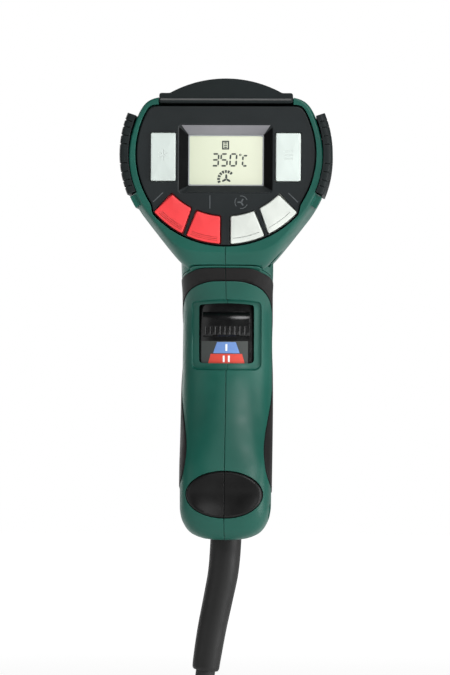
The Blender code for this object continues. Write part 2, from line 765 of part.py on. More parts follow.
def build_heater():
    outside = [(23.7, 102), (HEATER_R, 102), (HEATER_R, 190), (OUTLET_R, 211), (OUTLET_R, 252.4)]
    lip = [(OUTLET_R + 0.6, 253), (OUTLET_R + 0.6, LENGTH - 0.4), (OUTLET_R + 0.2, LENGTH)]
    inside = [(OUTLET_R - 0.8, LENGTH), (OUTLET_R - 0.8, 211.4), (23.7, 190.6)]
    keep(turned(outside + lip + inside, 32), "outlet_tube", STEEL)
    keep(turned([(21.6, 92), (22.4, 92), (22.4, 188), (21.6, 188)], 24), "mica_sleeve", MICA)
    for name, depth, outer in (("rear", 105, 28.6), ("front", 138, 28.2)):
        ring = [(24.8, depth), (outer, depth), (outer, depth + 6), (24.8, depth + 6)]
        keep(turned(ring, 24), f"tube_support_{name}", CERAMIC)
    core = turned([(0, 96), (3.0, 96), (3.0, 184), (0, 184)], 10)
    for angle in (0, 60, 120):
        corners = [math.radians(angle + offset) for offset in (-4.2, 4.2, 175.8, 184.2)]
        fin = [(13.5 * math.cos(corner), 13.5 * math.sin(corner)) for corner in corners]
        core = join(core, plate(fin, (98, 182)))
    keep(core, "heater_core", CERAMIC)
    turns = 8
    per_turn = 12
    wire = []
    for i in range(turns * per_turn + 1):
        angle = 2 * math.pi * i / per_turn
        depth = 100 + 80 * i / (turns * per_turn)
        wire.append(place(16.5 * math.cos(angle), depth, 16.5 * math.sin(angle)))
    keep(tube(wire, 0.9, 0), "heater_coil", WIRE)
    keep(rod(place(0, 194, 9), place(0, 226, 9), 0.9, 8), "temperature_sensor", STEEL)
    outside = [(26.0, 150), (28.0, 150), (28.0, 165.4), (30.8, 165.4), (30.8, 202)]
    nose = [(27.6, 216), (24.6, 220), (20.4, 221), (20.4, 218.6), (24.4, 214.4)]
    inside = [(26.6, 203), (26.0, 180)]
    sleeve = turned(outside + nose + inside, 32)
    for i in range(10):
        angle = 36.0 * i
        sleeve = cut(sleeve, sector((24, 34), (angle - 3.4, angle + 3.4), (172, 196), 1))
    keep(sleeve, "barrel_guard", BLACK)


# ---- handle: switch, power electronics and cable entry ----


CLAMP_X = 9.5
CLAMP_Z = -143.5


def build_switch():
    bed = slider_arc(18.9, 11.6)
    back = [(x, d + 1.4) for x, d in bed[::-1]]
    slider = floor_plate(bed + back, (SLIDER_END, SLIDER_TOP))
    thumb = slider_arc(15.7, 10.1)
    thumb_back = [(10.1, 20.0), (-10.1, 20.0)]
    arm = (-78.0, -74.0)
    slider = join(slider, floor_plate(thumb + thumb_back, (-77.3, -66.8)))
    for i in range(7):
        x = -8.1 + 2.7 * i
        depth = 15.7 + SLIDER_BOW - math.sqrt(SLIDER_BOW ** 2 - x * x)
        slider = cut(slider, box((x - 0.6, x + 0.6), (depth - 2, depth + 0.9), (-80, -73.4)))
    slider = join(slider, box((-1.4, 1.4), (19.6, 28.2), arm))
    keep(slider, "switch_slider", BLACK)
    guide = box((-12.6, 12.6), (23.0, 24.6), (-100, -56))
    way = (arm[0] - SWITCH_TRAVEL - 3.0, arm[1] + 3.0)
    guide = cut(guide, box((-2.0, 2.0), (20, 27), way))
    keep(guide, "switch_guide", BLACK)
    body = box((-9, 9), (25.2, 42), (-96, -66), 0.6, 1)
    body = cut(body, box((-2.0, 2.0), (20, 29.5), way))
    keep(body, "power_switch", BLACK)
    keep(box((8.0, 9.6), (24, 42), (-135, -103)), "power_board", BOARD, smooth=False)
    sink = box((5.2, 7.6), (24, 40), (-130, -106))
    for i in range(5):
        depth = 24.0 + 3.6 * i
        sink = join(sink, box((-7, 6), (depth, depth + 1.4), (-130, -106)))
    keep(sink, "triac_heat_sink", ALUMINIUM)
    clamp = box((-12, 12), (34.2, 38.2), (CLAMP_Z - 3, CLAMP_Z + 3), 0.8, 1)
    for x in (-CLAMP_X, CLAMP_X):
        clamp = cut(clamp, rod(place(x, 30, CLAMP_Z), place(x, 42, CLAMP_Z), 1.5, 10))
    keep(clamp, "cable_clamp", BLACK)
    for name, side in SIDES.items():
        x = side * CLAMP_X
        shank = rod(place(x, 28, CLAMP_Z), place(x, 39, CLAMP_Z), 1.1, 8)
        head = rod(place(x, 38.6, CLAMP_Z), place(x, 40.4, CLAMP_Z), 2.3, 12)
        keep(join(shank, head), f"clamp_screw_{name}", ZINC)


# ---- mains cord ----
# The cord leaves the handle, bends a little to the left and hangs to a coil held by a tie.

SLEEVE_LINE = [
    (0, -140), (0, -152), (0, -164), (-1.0, -178),
    (-3.2, -190), (-5.8, -203), (-7.9, -216), (-8.5, -221),
]
SLEEVE_ROUTE = [(x, CORD_DEPTH, z) for x, z in SLEEVE_LINE]
CORD_ROUTE = [
    (-8.5, CORD_DEPTH, -221.3), (-9.2, 26.0, -228), (-9.9, 26.4, -236), (-10.1, 28.0, -245),
    (-9.9, 31.6, -253.6), (-9.4, 37.6, -261.6), (-8.6, 46.0, -268.8), (-7.7, 56.4, -274.4),
    (-7.0, 68.0, -277.3), (-6.8, 80.0, -278.7),
]
SLEEVE_RADII = [
    (-221, 5.2), (-219, 5.9), (-190, 6.4), (-166, 6.7), (-157, 6.7), (-156, 5.6), (-140, 5.6),
]
COIL_CENTRE = (-6.0, 68.0, -346.0)
COIL_MID_R = 50.0
COIL_HALF = 13.6  # half the thickness of the coil's turns, each way
TAIL_R = 68.0  # the last part of the cord lies on the outside of the coil
PLUG_X = COIL_CENTRE[0] + 8.9
PLUG_DEPTH = COIL_CENTRE[1] + TAIL_R
PLUG_TOP = -381.0
PIN_HALF_PITCH = 9.5
TIE_ANGLE = 215.0


def smooth_route(route, per_span):
    """A smooth curve through route points, as a list of points in metres."""
    points = [Vector(p) for p in route]
    ends = [points[0] * 2 - points[1], *points, points[-1] * 2 - points[-2]]
    made = []
    for a, b, c, d in zip(ends, ends[1:], ends[2:], ends[3:]):
        bend = 2 * a - 5 * b + 4 * c - d
        twist = 3 * b - a - 3 * c + d
        for i in range(per_span):
            t = i / per_span
            made.append(0.5 * (2 * b + (c - a) * t + bend * t * t + twist * t ** 3))
    made.append(points[-1])
    return [place(*p) for p in made]


def build_cord():
    path = smooth_route(SLEEVE_ROUTE, 2)
    rings = []
    for i, point in enumerate(path):
        after = path[min(i + 1, len(path) - 1)]
        before = path[max(i - 1, 0)]
        along = (after - before).normalized()
        forward = Vector((0, 1, 0))
        side = forward.cross(along).normalized()
        reach = straight(SLEEVE_RADII, point.z / MM - AXIS_Z) * MM
        turns = [2 * math.pi * k / 18 for k in range(18)]
        rings.append([point + reach * (side * math.cos(t) + forward * math.sin(t)) for t in turns])
    keep(loft(rings, "sleeve"), "cord_sleeve", RUBBER)
    keep(tube(smooth_route(CORD_ROUTE, 3), CORD_D / 2, 2), "mains_cord", CORD_RUBBER)
    x, depth, z = COIL_CENTRE
    low, high = COIL_MID_R - COIL_HALF, COIL_MID_R + COIL_HALF
    section = [(low, -COIL_HALF), (high, -COIL_HALF), (high, COIL_HALF), (low, COIL_HALF)]
    ring = turned(section, 36)
    quarter = Matrix.Rotation(math.radians(-90), 4, "Z")
    home = Matrix.Translation(place(x, depth, z)) @ quarter @ Matrix.Translation(-place(0, 0, 0))
    ring.data.transform(home)
    tail = []
    for i in range(9):
        share = i / 8
        turn = math.radians(30 + 60 * share)
        reach = high - 4 + (TAIL_R - high + 4) * share
        tail.append(place(PLUG_X, depth + reach * math.sin(turn), z + reach * math.cos(turn)))
    tail.append(place(PLUG_X, PLUG_DEPTH, PLUG_TOP + GAP))
    ring = join(ring, apply_modifiers(tube(tail, CORD_D / 2, 1)))
    keep(ring, "cord_coil", CORD_RUBBER)
    loop = box((-15.4, 15.4), (low - 1.8, high + 1.8), (-4.5, 4.5))
    loop = cut(loop, box((-13.9, 13.9), (low - 0.4, high + 0.4), (-8, 8)))
    about = Matrix.Translation(place(x, depth, z)) @ Matrix.Rotation(math.radians(TIE_ANGLE), 4, "X")
    loop.data.transform(about @ Matrix.Translation(-place(0, 0, 0)))
    keep(loop, "cord_tie", BLACK)
    build_plug(PLUG_X, PLUG_DEPTH)


def build_plug(x, depth):
    boot = [(0, PLUG_TOP), (5.2, PLUG_TOP), (6.6, -394)]
    body = [(9.5, -400), (15.5, -405), (17.8, -411), (17.8, -431), (16.6, -433), (0, -433)]
    plug = turned([(radius, -z) for radius, z in boot + body], 28)
    tip = Matrix.Rotation(math.radians(-90), 4, "X")
    home = Matrix.Translation(place(x, depth, 0)) @ tip @ Matrix.Translation(-place(0, 0, 0))
    plug.data.transform(home)
    keep(plug, "mains_plug", CORD_RUBBER)
    for name, side in SIDES.items():
        across = x + PIN_HALF_PITCH * side
        pin = rod(place(across, depth, -433.3), place(across, depth, -452), 2.4, 12)
        keep(pin, f"plug_pin_{name}", BRASS)


def pivot(name, point):
    """Moves a piece's origin onto its joint's axis and leaves its shape where it is."""
    obj = bpy.data.objects[name]
    obj.data.transform(Matrix.Translation(-point))
    obj.location = point


build_housing()
build_grips()
build_covers()
build_panel()
build_blower()
build_heater()
build_switch()
build_cord()

for turning, along_axis in (("fan_impeller", 71.0), ("motor_shaft", 50.0), ("motor_armature", 41.0)):
    pivot(turning, place(0, along_axis, 0))
pivot("barrel_guard", place(0, BARREL_END, 0))
pivot("switch_slider", place(0, 20.0, -72.0))
for pressed, (outline, side, corners, _) in KEYS.items():
    edge = outline(side, *corners, 0.0)
    middle_x = sum(x for x, _ in edge) / len(edge)
    middle_z = sum(z for _, z in edge) / len(edge)
    pivot(pressed, place(middle_x, KEY_FACE, middle_z))
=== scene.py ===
"""Looks for the heat gun: dense shells, keys, display, switch, cord and materials over its CAD.

Metres, +Z up. The barrel blows along +Y and the control panel faces -Y. Inside this file lengths
are written in millimetres: x across, "depth" forward of the rear plane, and z from the barrel axis.
"""

import math

import bmesh
import bpy
from mathutils import Matrix, Vector


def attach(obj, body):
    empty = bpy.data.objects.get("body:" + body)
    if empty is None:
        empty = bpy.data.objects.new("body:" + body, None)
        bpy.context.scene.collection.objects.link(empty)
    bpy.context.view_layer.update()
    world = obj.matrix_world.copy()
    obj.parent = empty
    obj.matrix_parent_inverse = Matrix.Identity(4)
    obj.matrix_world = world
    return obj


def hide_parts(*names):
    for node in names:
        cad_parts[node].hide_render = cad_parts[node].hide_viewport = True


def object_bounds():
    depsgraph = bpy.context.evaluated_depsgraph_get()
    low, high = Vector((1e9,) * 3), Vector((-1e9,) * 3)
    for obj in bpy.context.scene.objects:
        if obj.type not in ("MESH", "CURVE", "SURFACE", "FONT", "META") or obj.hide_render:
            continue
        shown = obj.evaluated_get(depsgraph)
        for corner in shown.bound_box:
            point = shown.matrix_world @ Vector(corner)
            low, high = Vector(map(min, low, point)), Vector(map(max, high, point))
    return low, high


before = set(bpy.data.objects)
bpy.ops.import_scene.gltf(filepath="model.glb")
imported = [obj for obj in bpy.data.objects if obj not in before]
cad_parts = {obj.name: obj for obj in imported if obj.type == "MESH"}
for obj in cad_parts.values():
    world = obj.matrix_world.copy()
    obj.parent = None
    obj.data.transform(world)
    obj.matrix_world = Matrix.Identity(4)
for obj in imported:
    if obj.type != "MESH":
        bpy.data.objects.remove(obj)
CAD_BOX = [list(corner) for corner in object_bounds()]

MM = 0.001
AXIS_Z = 95.0
REAR_Y = -34.0


def place(x, depth, z):
    """Millimetres across, forward of the rear plane and above the barrel axis, to metres."""
    return Vector((x * MM, (REAR_Y + depth) * MM, (AXIS_Z + z) * MM))


# ---- camera ----

FRAME_HEIGHT = 285.0  # what the picture's height spans at the control panel
CAMERA_DISTANCE = 1200.0
AZIMUTH = math.radians(2.2)
ELEVATION = math.radians(0.6)
ROLL = math.radians(0.3)
SENSOR = 36.0
TARGET = place(0.05, 2.0, -77.5)


def add_camera():
    data = bpy.data.cameras.new("view")
    data.sensor_fit = "VERTICAL"
    data.sensor_height = SENSOR
    data.lens = SENSOR * CAMERA_DISTANCE / FRAME_HEIGHT
    data.clip_start = 0.01
    camera = bpy.data.objects.new("view", data)
    bpy.context.scene.collection.objects.link(camera)
    level = math.cos(ELEVATION)
    out = Vector((math.sin(AZIMUTH) * level, -math.cos(AZIMUTH) * level, math.sin(ELEVATION)))
    turn = (-out).to_track_quat("-Z", "Y").to_matrix().to_4x4()
    where = Matrix.Translation(TARGET + out * CAMERA_DISTANCE * MM)
    camera.matrix_world = where @ turn @ Matrix.Rotation(ROLL, 4, "Z")
    bpy.context.scene.camera = camera


add_camera()

# ---- materials ----


class Nodes:
    """A material's node tree, with short calls for adding and linking nodes."""

    def __init__(self, name):
        self.material = bpy.data.materials.new(name)
        self.material.use_nodes = True
        self.tree = self.material.node_tree
        self.shader = self.tree.nodes["Principled BSDF"]
        self.space = self.tree.nodes.new("ShaderNodeTexCoord").outputs["Object"]

    def add(self, kind, **settings):
        node = self.tree.nodes.new(kind)
        for key, value in settings.items():
            setattr(node, key, value)
        return node

    def link(self, source, target):
        self.tree.links.new(source, target)

    def feed(self, socket, source):
        self.link(source, self.shader.inputs[socket])

    def give(self, socket, value):
        self.shader.inputs[socket].default_value = value

    def noise(self, scale, detail=2.0, roughness=0.5, space=None):
        node = self.add("ShaderNodeTexNoise")
        node.inputs["Scale"].default_value = scale
        node.inputs["Detail"].default_value = detail
        node.inputs["Roughness"].default_value = roughness
        self.link(space or self.space, node.inputs["Vector"])
        return node.outputs["Fac"]

    def stretched(self, scale):
        """The object's space with each axis scaled."""
        node = self.add("ShaderNodeMapping")
        node.inputs["Scale"].default_value = scale
        self.link(self.space, node.inputs["Vector"])
        return node.outputs["Vector"]

    def spread(self, value, low, high, start=0.3, end=0.7):
        """A value between start and end, spread over low to high."""
        node = self.add("ShaderNodeMapRange")
        limits = {"From Min": start, "From Max": end, "To Min": low, "To Max": high}
        for key, number in limits.items():
            node.inputs[key].default_value = number
        self.link(value, node.inputs["Value"])
        return node.outputs["Result"]

    def between(self, share, low, high):
        """A colour between two, by a share from 0 to 1."""
        node = self.add("ShaderNodeValToRGB")
        node.color_ramp.elements[0].color = (*low, 1.0)
        node.color_ramp.elements[1].color = (*high, 1.0)
        self.link(share, node.inputs["Fac"])
        return node.outputs["Color"]

    def bump(self, height, distance, strength, normal=None):
        node = self.add("ShaderNodeBump")
        node.inputs["Strength"].default_value = strength
        node.inputs["Distance"].default_value = distance
        self.link(height, node.inputs["Height"])
        if normal:
            self.link(normal, node.inputs["Normal"])
        return node.outputs["Normal"]

    def rounded_edges(self, radius):
        node = self.add("ShaderNodeBevel", samples=4)
        node.inputs["Radius"].default_value = radius * MM
        return node.outputs["Normal"]

    def wear(self, radius):
        """How near an edge the surface is, 0 on flats and 1 on edges."""
        surface = self.add("ShaderNodeNewGeometry")
        turn = self.add("ShaderNodeVectorMath", operation="DOT_PRODUCT")
        self.link(self.rounded_edges(radius), turn.inputs[0])
        self.link(surface.outputs["Normal"], turn.inputs[1])
        return self.spread(turn.outputs["Value"], 1.0, 0.0, 0.8, 0.99)


MIX_FIRST, MIX_SECOND, MIX_RESULT = 6, 7, 2  # a Mix node's colour sockets


def times(colour, factor):
    return tuple(c * factor for c in colour)


def moulded(name, colour, worn, roughness, grain=0.012, grain_scale=2600.0, edge=0.3, shine=0.5):
    """Moulded plastic or rubber: fine spark grain, slow colour and gloss changes, paler edges."""
    made = Nodes(name)
    made.give("Specular IOR Level", shine)
    tint = made.spread(made.noise(38.0, 3.0), 0.0, 1.0)
    mix = made.add("ShaderNodeMix", data_type="RGBA")
    made.link(made.wear(max(edge, 0.15)), mix.inputs["Factor"])
    made.link(made.between(tint, times(colour, 0.88), times(colour, 1.12)), mix.inputs[MIX_FIRST])
    mix.inputs[MIX_SECOND].default_value = (*worn, 1.0)
    made.feed("Base Color", mix.outputs[MIX_RESULT])
    smudge = made.noise(160.0, 4.0, 0.6)
    made.feed("Roughness", made.spread(smudge, roughness - 0.05, roughness + 0.07))
    fine = made.noise(grain_scale, 2.0)
    normal = made.rounded_edges(edge) if edge else None
    made.feed("Normal", made.bump(fine, grain * MM, 0.9, normal))
    return made.material


def metal(name, colour, tinted, roughness, lines=(900.0, 40.0, 900.0), edge=0.0):
    """Turned or drawn metal: fine lines, smudged gloss and a slow tint."""
    made = Nodes(name)
    made.give("Metallic", 1.0)
    slow = made.spread(made.noise(24.0, 3.0), 0.0, 1.0)
    made.feed("Base Color", made.between(slow, colour, tinted))
    smudge = made.noise(120.0, 4.0, 0.6)
    made.feed("Roughness", made.spread(smudge, roughness - 0.06, roughness + 0.1))
    streaks = made.noise(1.0, 2.0, 0.5, made.stretched(lines))
    normal = made.rounded_edges(edge) if edge else None
    made.feed("Normal", made.bump(streaks, 0.01 * MM, 0.5, normal))
    return made.material


HEATED_FROM, HEATED_TO = 0.165, 0.222  # along the tube, in metres
HEAT_TINTS = (
    (0.0, (0.56, 0.54, 0.51)), (0.35, (0.56, 0.49, 0.38)), (0.62, (0.42, 0.31, 0.23)),
    (0.82, (0.27, 0.25, 0.31)), (1.0, (0.34, 0.35, 0.38)),
)


def heated_steel():
    """The outlet's bright steel, blued and browned towards its tip by heat."""
    made = Nodes("heated_steel")
    made.give("Metallic", 1.0)
    split = made.add("ShaderNodeSeparateXYZ")
    made.link(made.space, split.inputs["Vector"])
    wander = made.spread(made.noise(30.0, 3.0), -0.012, 0.012)
    shifted = made.add("ShaderNodeMath", operation="ADD")
    made.link(split.outputs["Y"], shifted.inputs[0])
    made.link(wander, shifted.inputs[1])
    along = made.spread(shifted.outputs["Value"], 0.0, 1.0, HEATED_FROM, HEATED_TO)
    ramp = made.add("ShaderNodeValToRGB")
    stops = ramp.color_ramp.elements
    stops[0].color = (*HEAT_TINTS[0][1], 1.0)
    stops[1].color = (*HEAT_TINTS[-1][1], 1.0)
    for position, colour in HEAT_TINTS[1:-1]:
        stops.new(position).color = (*colour, 1.0)
    made.link(along, ramp.inputs["Fac"])
    made.feed("Base Color", ramp.outputs["Color"])
    made.feed("Roughness", made.spread(made.noise(90.0, 4.0), 0.2, 0.38))
    rings = made.noise(1.0, 2.0, 0.5, made.stretched((60.0, 2200.0, 60.0)))
    made.feed("Normal", made.bump(rings, 0.008 * MM, 0.5))
    return made.material


def printed(name, colour, roughness=0.5):
    """Ink, in an even coat with a slightly mottled gloss."""
    made = Nodes(name)
    shade = made.spread(made.noise(700.0, 2.0), 0.0, 1.0)
    made.feed("Base Color", made.between(shade, times(colour, 0.93), colour))
    made.feed("Roughness", made.spread(made.noise(300.0), roughness - 0.06, roughness + 0.06))
    return made.material


def display_glass():
    """The display's window: pale, a little deeper towards one side, under a glossy coat."""
    made = Nodes("display_glass")
    split = made.add("ShaderNodeSeparateXYZ")
    made.link(made.space, split.inputs["Vector"])
    across = made.spread(split.outputs["X"], 0.0, 1.0, -0.018, 0.018)
    made.feed("Base Color", made.between(across, (0.56, 0.60, 0.46), (0.72, 0.75, 0.60)))
    made.feed("Normal", made.bump(made.noise(5200.0, 1.0), 0.003 * MM, 0.4))
    made.feed("Roughness", made.spread(made.noise(200.0), 0.30, 0.38))
    made.give("Coat Weight", 0.35)
    made.give("Coat Roughness", 0.08)
    return made.material


# Plastics and rubbers: colour, colour of worn edges, roughness, grain depth and scale, edge, shine.
GREEN = moulded("green_plastic", (0.0035, 0.072, 0.052), (0.020, 0.130, 0.102), 0.42, shine=0.3)
BLACK = moulded("black_plastic", (0.010, 0.0135, 0.014), (0.036, 0.042, 0.044), 0.46, shine=0.12)
PANEL = moulded(
    "panel_plastic", (0.014, 0.017, 0.018), (0.050, 0.056, 0.058), 0.42, 0.008, shine=0.16,
)
# A paler grey for the strip on the hood lip's edge, as a painted highlight.
LIP = moulded("lip_highlight", (0.085, 0.088, 0.088), (0.13, 0.13, 0.13), 0.4, 0.01, shine=0.3)
SLIDER = moulded(
    "slider_plastic", (0.002, 0.0022, 0.0024), (0.02, 0.021, 0.022), 0.22, 0.006, shine=0.35,
)
PAD = moulded(
    "pad_rubber", (0.003, 0.003, 0.003), (0.010, 0.010, 0.010), 0.38, 0.02, 1700.0, shine=0.22,
)
SHADED = moulded(
    "shaded_slope", (0.002, 0.0022, 0.0024), (0.004, 0.004, 0.004), 0.6, 0.01, shine=0.05,
)
RUBBER = moulded(
    "grip_rubber", (0.0065, 0.006, 0.006), (0.020, 0.019, 0.019), 0.6, 0.02, 1700.0, shine=0.2,
)
SLEEVE_RUBBER = moulded(
    "sleeve_rubber", (0.007, 0.007, 0.007), (0.04, 0.04, 0.04), 0.5, 0.02, 1500.0, 0.2, 0.3,
)
CORD_SHEATH = moulded(
    "cord_sheath", (0.014, 0.014, 0.014), (0.04, 0.04, 0.04), 0.55, 0.03, 1300.0, 0.0, 0.3,
)
# A pale, coarse-grained grey on the display funnel's brow, as painted light falling from below.
LIT_BROW = moulded("display_brow", (0.20, 0.20, 0.215), (0.26, 0.26, 0.27), 0.5, 0.09, 620.0, 0.1, 0.4)
RED = moulded("red_key", (0.72, 0.045, 0.050), (0.80, 0.12, 0.11), 0.42, 0.006, 2600.0, 0.2, 0.3)
WHITE = moulded("white_key", (0.58, 0.61, 0.57), (0.70, 0.72, 0.70), 0.42, 0.006, 2600.0, 0.2, 0.3)
PALE = moulded("pale_button", (0.54, 0.60, 0.57), (0.74, 0.78, 0.76), 0.42, 0.006, 2600.0, 0.2, 0.3)
STEEL = metal("plain_steel", (0.58, 0.57, 0.55), (0.50, 0.49, 0.48), 0.3)
ZINC = metal(
    "zinc_plate", (0.55, 0.56, 0.55), (0.62, 0.60, 0.52), 0.36, (300.0, 300.0, 300.0), 0.15,
)
BRASS = metal("nickelled_brass", (0.72, 0.66, 0.52), (0.62, 0.56, 0.42), 0.25)
ALUMINIUM = metal(
    "extruded_aluminium", (0.72, 0.73, 0.74), (0.62, 0.63, 0.64), 0.34, (700.0, 700.0, 30.0),
)
WIRE = metal("resistance_wire", (0.30, 0.26, 0.23), (0.20, 0.19, 0.20), 0.5)
CERAMIC = moulded("ceramic", (0.72, 0.67, 0.58), (0.80, 0.76, 0.68), 0.78, 0.05, 900.0, 0.2)
MICA = moulded("mica", (0.42, 0.32, 0.19), (0.5, 0.42, 0.3), 0.4, 0.03, 500.0, 0.0)
SILICONE = moulded("silicone", (0.22, 0.24, 0.25), (0.3, 0.32, 0.33), 0.6)
BOARD = moulded("circuit_board", (0.012, 0.10, 0.035), (0.05, 0.2, 0.08), 0.35, 0.03, 400.0, 0.0)
FILTER = moulded("filter_mesh", (0.03, 0.03, 0.03), (0.08, 0.08, 0.08), 0.6, 0.2, 700.0, 0.0)
OUTLET_STEEL = heated_steel()
LCD = display_glass()
LCD_INK = printed("display_ink", (0.040, 0.050, 0.045), 0.4)
MARK_INK = printed("panel_mark", (0.075, 0.085, 0.090), 0.4)
SCALE_GREY = printed("scale_grey", (0.030, 0.036, 0.034))
WHITE_INK = printed("white_ink", (0.78, 0.80, 0.80))
GREY_INK = printed("grey_ink", (0.30, 0.32, 0.33))
BLUE_INK = printed("blue_ink", (0.125, 0.24, 0.53))
RED_INK = printed("red_ink", (0.60, 0.048, 0.028))

# ---- mesh tools ----


def link(obj):
    bpy.context.scene.collection.objects.link(obj)
    return obj


def finish_mesh(shape, name):
    bmesh.ops.recalc_face_normals(shape, faces=shape.faces)
    mesh = bpy.data.meshes.new(name)
    shape.to_mesh(mesh)
    shape.free()
    return link(bpy.data.objects.new(name, mesh))


def add_skin(shape, sections, looped=False):
    """Adds a skin over rings of points: capped at both ends or, if looped, joined end to end."""
    rings = [[shape.verts.new(point) for point in ring] for ring in sections]
    following = rings[1:] + rings[:1] if looped else rings[1:]
    count = len(rings[0])
    for lower, upper in zip(rings, following):
        for i in range(count):
            j = (i + 1) % count
            shape.faces.new((lower[i], lower[j], upper[j], upper[i]))
    if not looped:
        shape.faces.new(rings[0][::-1])
        shape.faces.new(rings[-1])


def loft(sections, looped=False):
    """A closed piece over rings of points, each ring with as many points as the next."""
    shape = bmesh.new()
    add_skin(shape, sections, looped)
    return finish_mesh(shape, "loft")


def applied(obj):
    """Replaces an object by what its modifiers make of it."""
    graph = bpy.context.evaluated_depsgraph_get()
    mesh = bpy.data.meshes.new_from_object(obj.evaluated_get(graph))
    name = obj.name
    bpy.data.objects.remove(obj)
    return link(bpy.data.objects.new(name, mesh))


def boolean(obj, others, operation):
    for other in others:
        step = obj.modifiers.new("step", "BOOLEAN")
        step.object = other
        step.operation = operation
        step.solver = "MANIFOLD"
        bpy.context.view_layer.update()
        obj = applied(obj)
        bpy.data.objects.remove(other)
    return obj


def cut(obj, *others):
    return boolean(obj, others, "DIFFERENCE")


def join(obj, *others):
    return boolean(obj, others, "UNION")


def common(obj, other):
    return boolean(obj, [other], "INTERSECT")


def copy_of(obj):
    made = obj.copy()
    made.data = obj.data.copy()
    return link(made)


def full_turn(steps):
    """Evenly spaced angles once round."""
    return [2 * math.pi * i / steps for i in range(steps)]


def at_depth(outline, depth):
    """An outline of (x, z) points, set at one depth."""
    return [place(x, depth, z) for x, z in outline]


def corners_of(across, up):
    """A rectangle's four corners, from its two spans."""
    return [(across[0], up[0]), (across[1], up[0]), (across[1], up[1]), (across[0], up[1])]


def box(x, depth, z):
    return loft([at_depth(corners_of(x, z), d) for d in depth])


def rod(start, end, radius, steps=40):
    """A round bar between two points, each given as (x, depth, z)."""
    start, end = place(*start), place(*end)
    axis = (end - start).normalized()
    side = axis.orthogonal().normalized()
    other = axis.cross(side)
    around = [(side * math.cos(t) + other * math.sin(t)) * radius * MM for t in full_turn(steps)]
    return loft([[centre + out for out in around] for centre in (start, end)])


def turned(profile):
    """A closed outline of (radius, depth) points turned about the barrel axis."""
    return loft([
        [place(r * math.cos(t), d, r * math.sin(t)) for r, d in profile] for t in full_turn(160)
    ], looped=True)


def arc(centre, radius, start, end, steps):
    """Points on an arc in a plane, between two angles in degrees."""
    angles = [math.radians(start + (end - start) * i / steps) for i in range(steps + 1)]
    return [(centre[0] + radius * math.cos(a), centre[1] + radius * math.sin(a)) for a in angles]


def neighbours(outline):
    """Each point of a closed outline, with the ones before and after it."""
    return zip(outline[-1:] + outline[:-1], outline, outline[1:] + outline[:1])


def rounded(corners, radius, steps=6):
    """An outline with each corner turned into a short curve."""
    made = []
    for before, corner, after in neighbours(corners):
        corner = Vector(corner)
        back = Vector(before) - corner
        on = Vector(after) - corner
        start = corner + back.normalized() * min(radius, back.length * 0.48)
        end = corner + on.normalized() * min(radius, on.length * 0.48)
        for i in range(steps + 1):
            t = i / steps
            point = start * (1 - t) ** 2 + corner * 2 * t * (1 - t) + end * t * t
            made.append((point.x, point.y))
    return made


def even(outline, count):
    """The same outline with its points spaced evenly."""
    closed = [Vector(p) for p in outline] + [Vector(outline[0])]
    lengths = [0.0]
    for a, b in zip(closed, closed[1:]):
        lengths.append(lengths[-1] + (b - a).length)
    made = []
    at = 0
    for i in range(count):
        goal = lengths[-1] * i / count
        while lengths[at + 1] < goal:
            at += 1
        span = lengths[at + 1] - lengths[at]
        share = (goal - lengths[at]) / span if span else 0.0
        point = closed[at].lerp(closed[at + 1], share)
        made.append((point.x, point.y))
    return made


def inset(outline, amount):
    """An outline moved inwards, or outwards by a negative amount."""
    area = sum(a[0] * b[1] - b[0] * a[1] for a, b in zip(outline, outline[1:] + outline[:1]))
    side = 1.0 if area > 0 else -1.0
    made = []
    for before, point, after in neighbours(outline):
        along = (Vector(after) - Vector(before)).normalized()
        made.append((point[0] - along.y * amount * side, point[1] + along.x * amount * side))
    return made


def plate(outline, depth):
    """A flat outline of (x, z) points, facing along the barrel, as thick as the depth range."""
    return loft([at_depth(outline, d) for d in depth])


def side_plate(outline, x):
    """A flat outline of (depth, z) points, facing sideways, between two values of x."""
    return loft([[place(a, d, z) for d, z in outline] for a in x])


EDGE_STEPS = 5
FACE_STEPS = 8


def soft_plate(outline, front, back, edge, crown=0.0):
    """A plate with its front edge rounded over and its face slightly crowned."""
    levels = [(0.0, back), (0.0, front + edge)]
    for i in range(1, EDGE_STEPS + 1):
        t = math.radians(90 * i / EDGE_STEPS)
        levels.append((edge * (1 - math.cos(t)), front + edge * (1 - math.sin(t))))
    rings = [at_depth(inset(outline, amount), depth) for amount, depth in levels]
    if crown:
        face = inset(outline, edge)
        middle = Vector((sum(p[0] for p in face), sum(p[1] for p in face))) / len(face)
        for i in range(1, FACE_STEPS):
            share = i / FACE_STEPS
            lift = crown * (1 - (1 - share) ** 2)
            points = [Vector(p).lerp(middle, share) for p in face]
            rings.append([place(p.x, front - lift, p.y) for p in points])
    return loft(rings)


def smooth_table(table, at):
    """Reads a smooth value from (station, value) pairs, with no overshoot."""
    if at <= table[0][0]:
        return table[0][1]
    if at >= table[-1][0]:
        return table[-1][1]
    slopes = [(b[1] - a[1]) / (b[0] - a[0]) for a, b in zip(table, table[1:])]
    tangents = [slopes[0]]
    for before, after in zip(slopes, slopes[1:]):
        tangents.append(2 * before * after / (before + after) if before * after > 0 else 0.0)
    tangents.append(slopes[-1])
    i = next(k for k, (station, _) in enumerate(table[1:]) if at <= station)
    (a, low), (b, high) = table[i : i + 2]
    span = b - a
    t = (at - a) / span
    rise = tangents[i] * span
    fall = tangents[i + 1] * span
    square = t * t
    cube = square * t
    start = 2 * cube - 3 * square + 1
    end = 3 * square - 2 * cube
    ease = rise * (cube - 2 * square + t) + fall * (cube - square)
    return low * start + high * end + ease


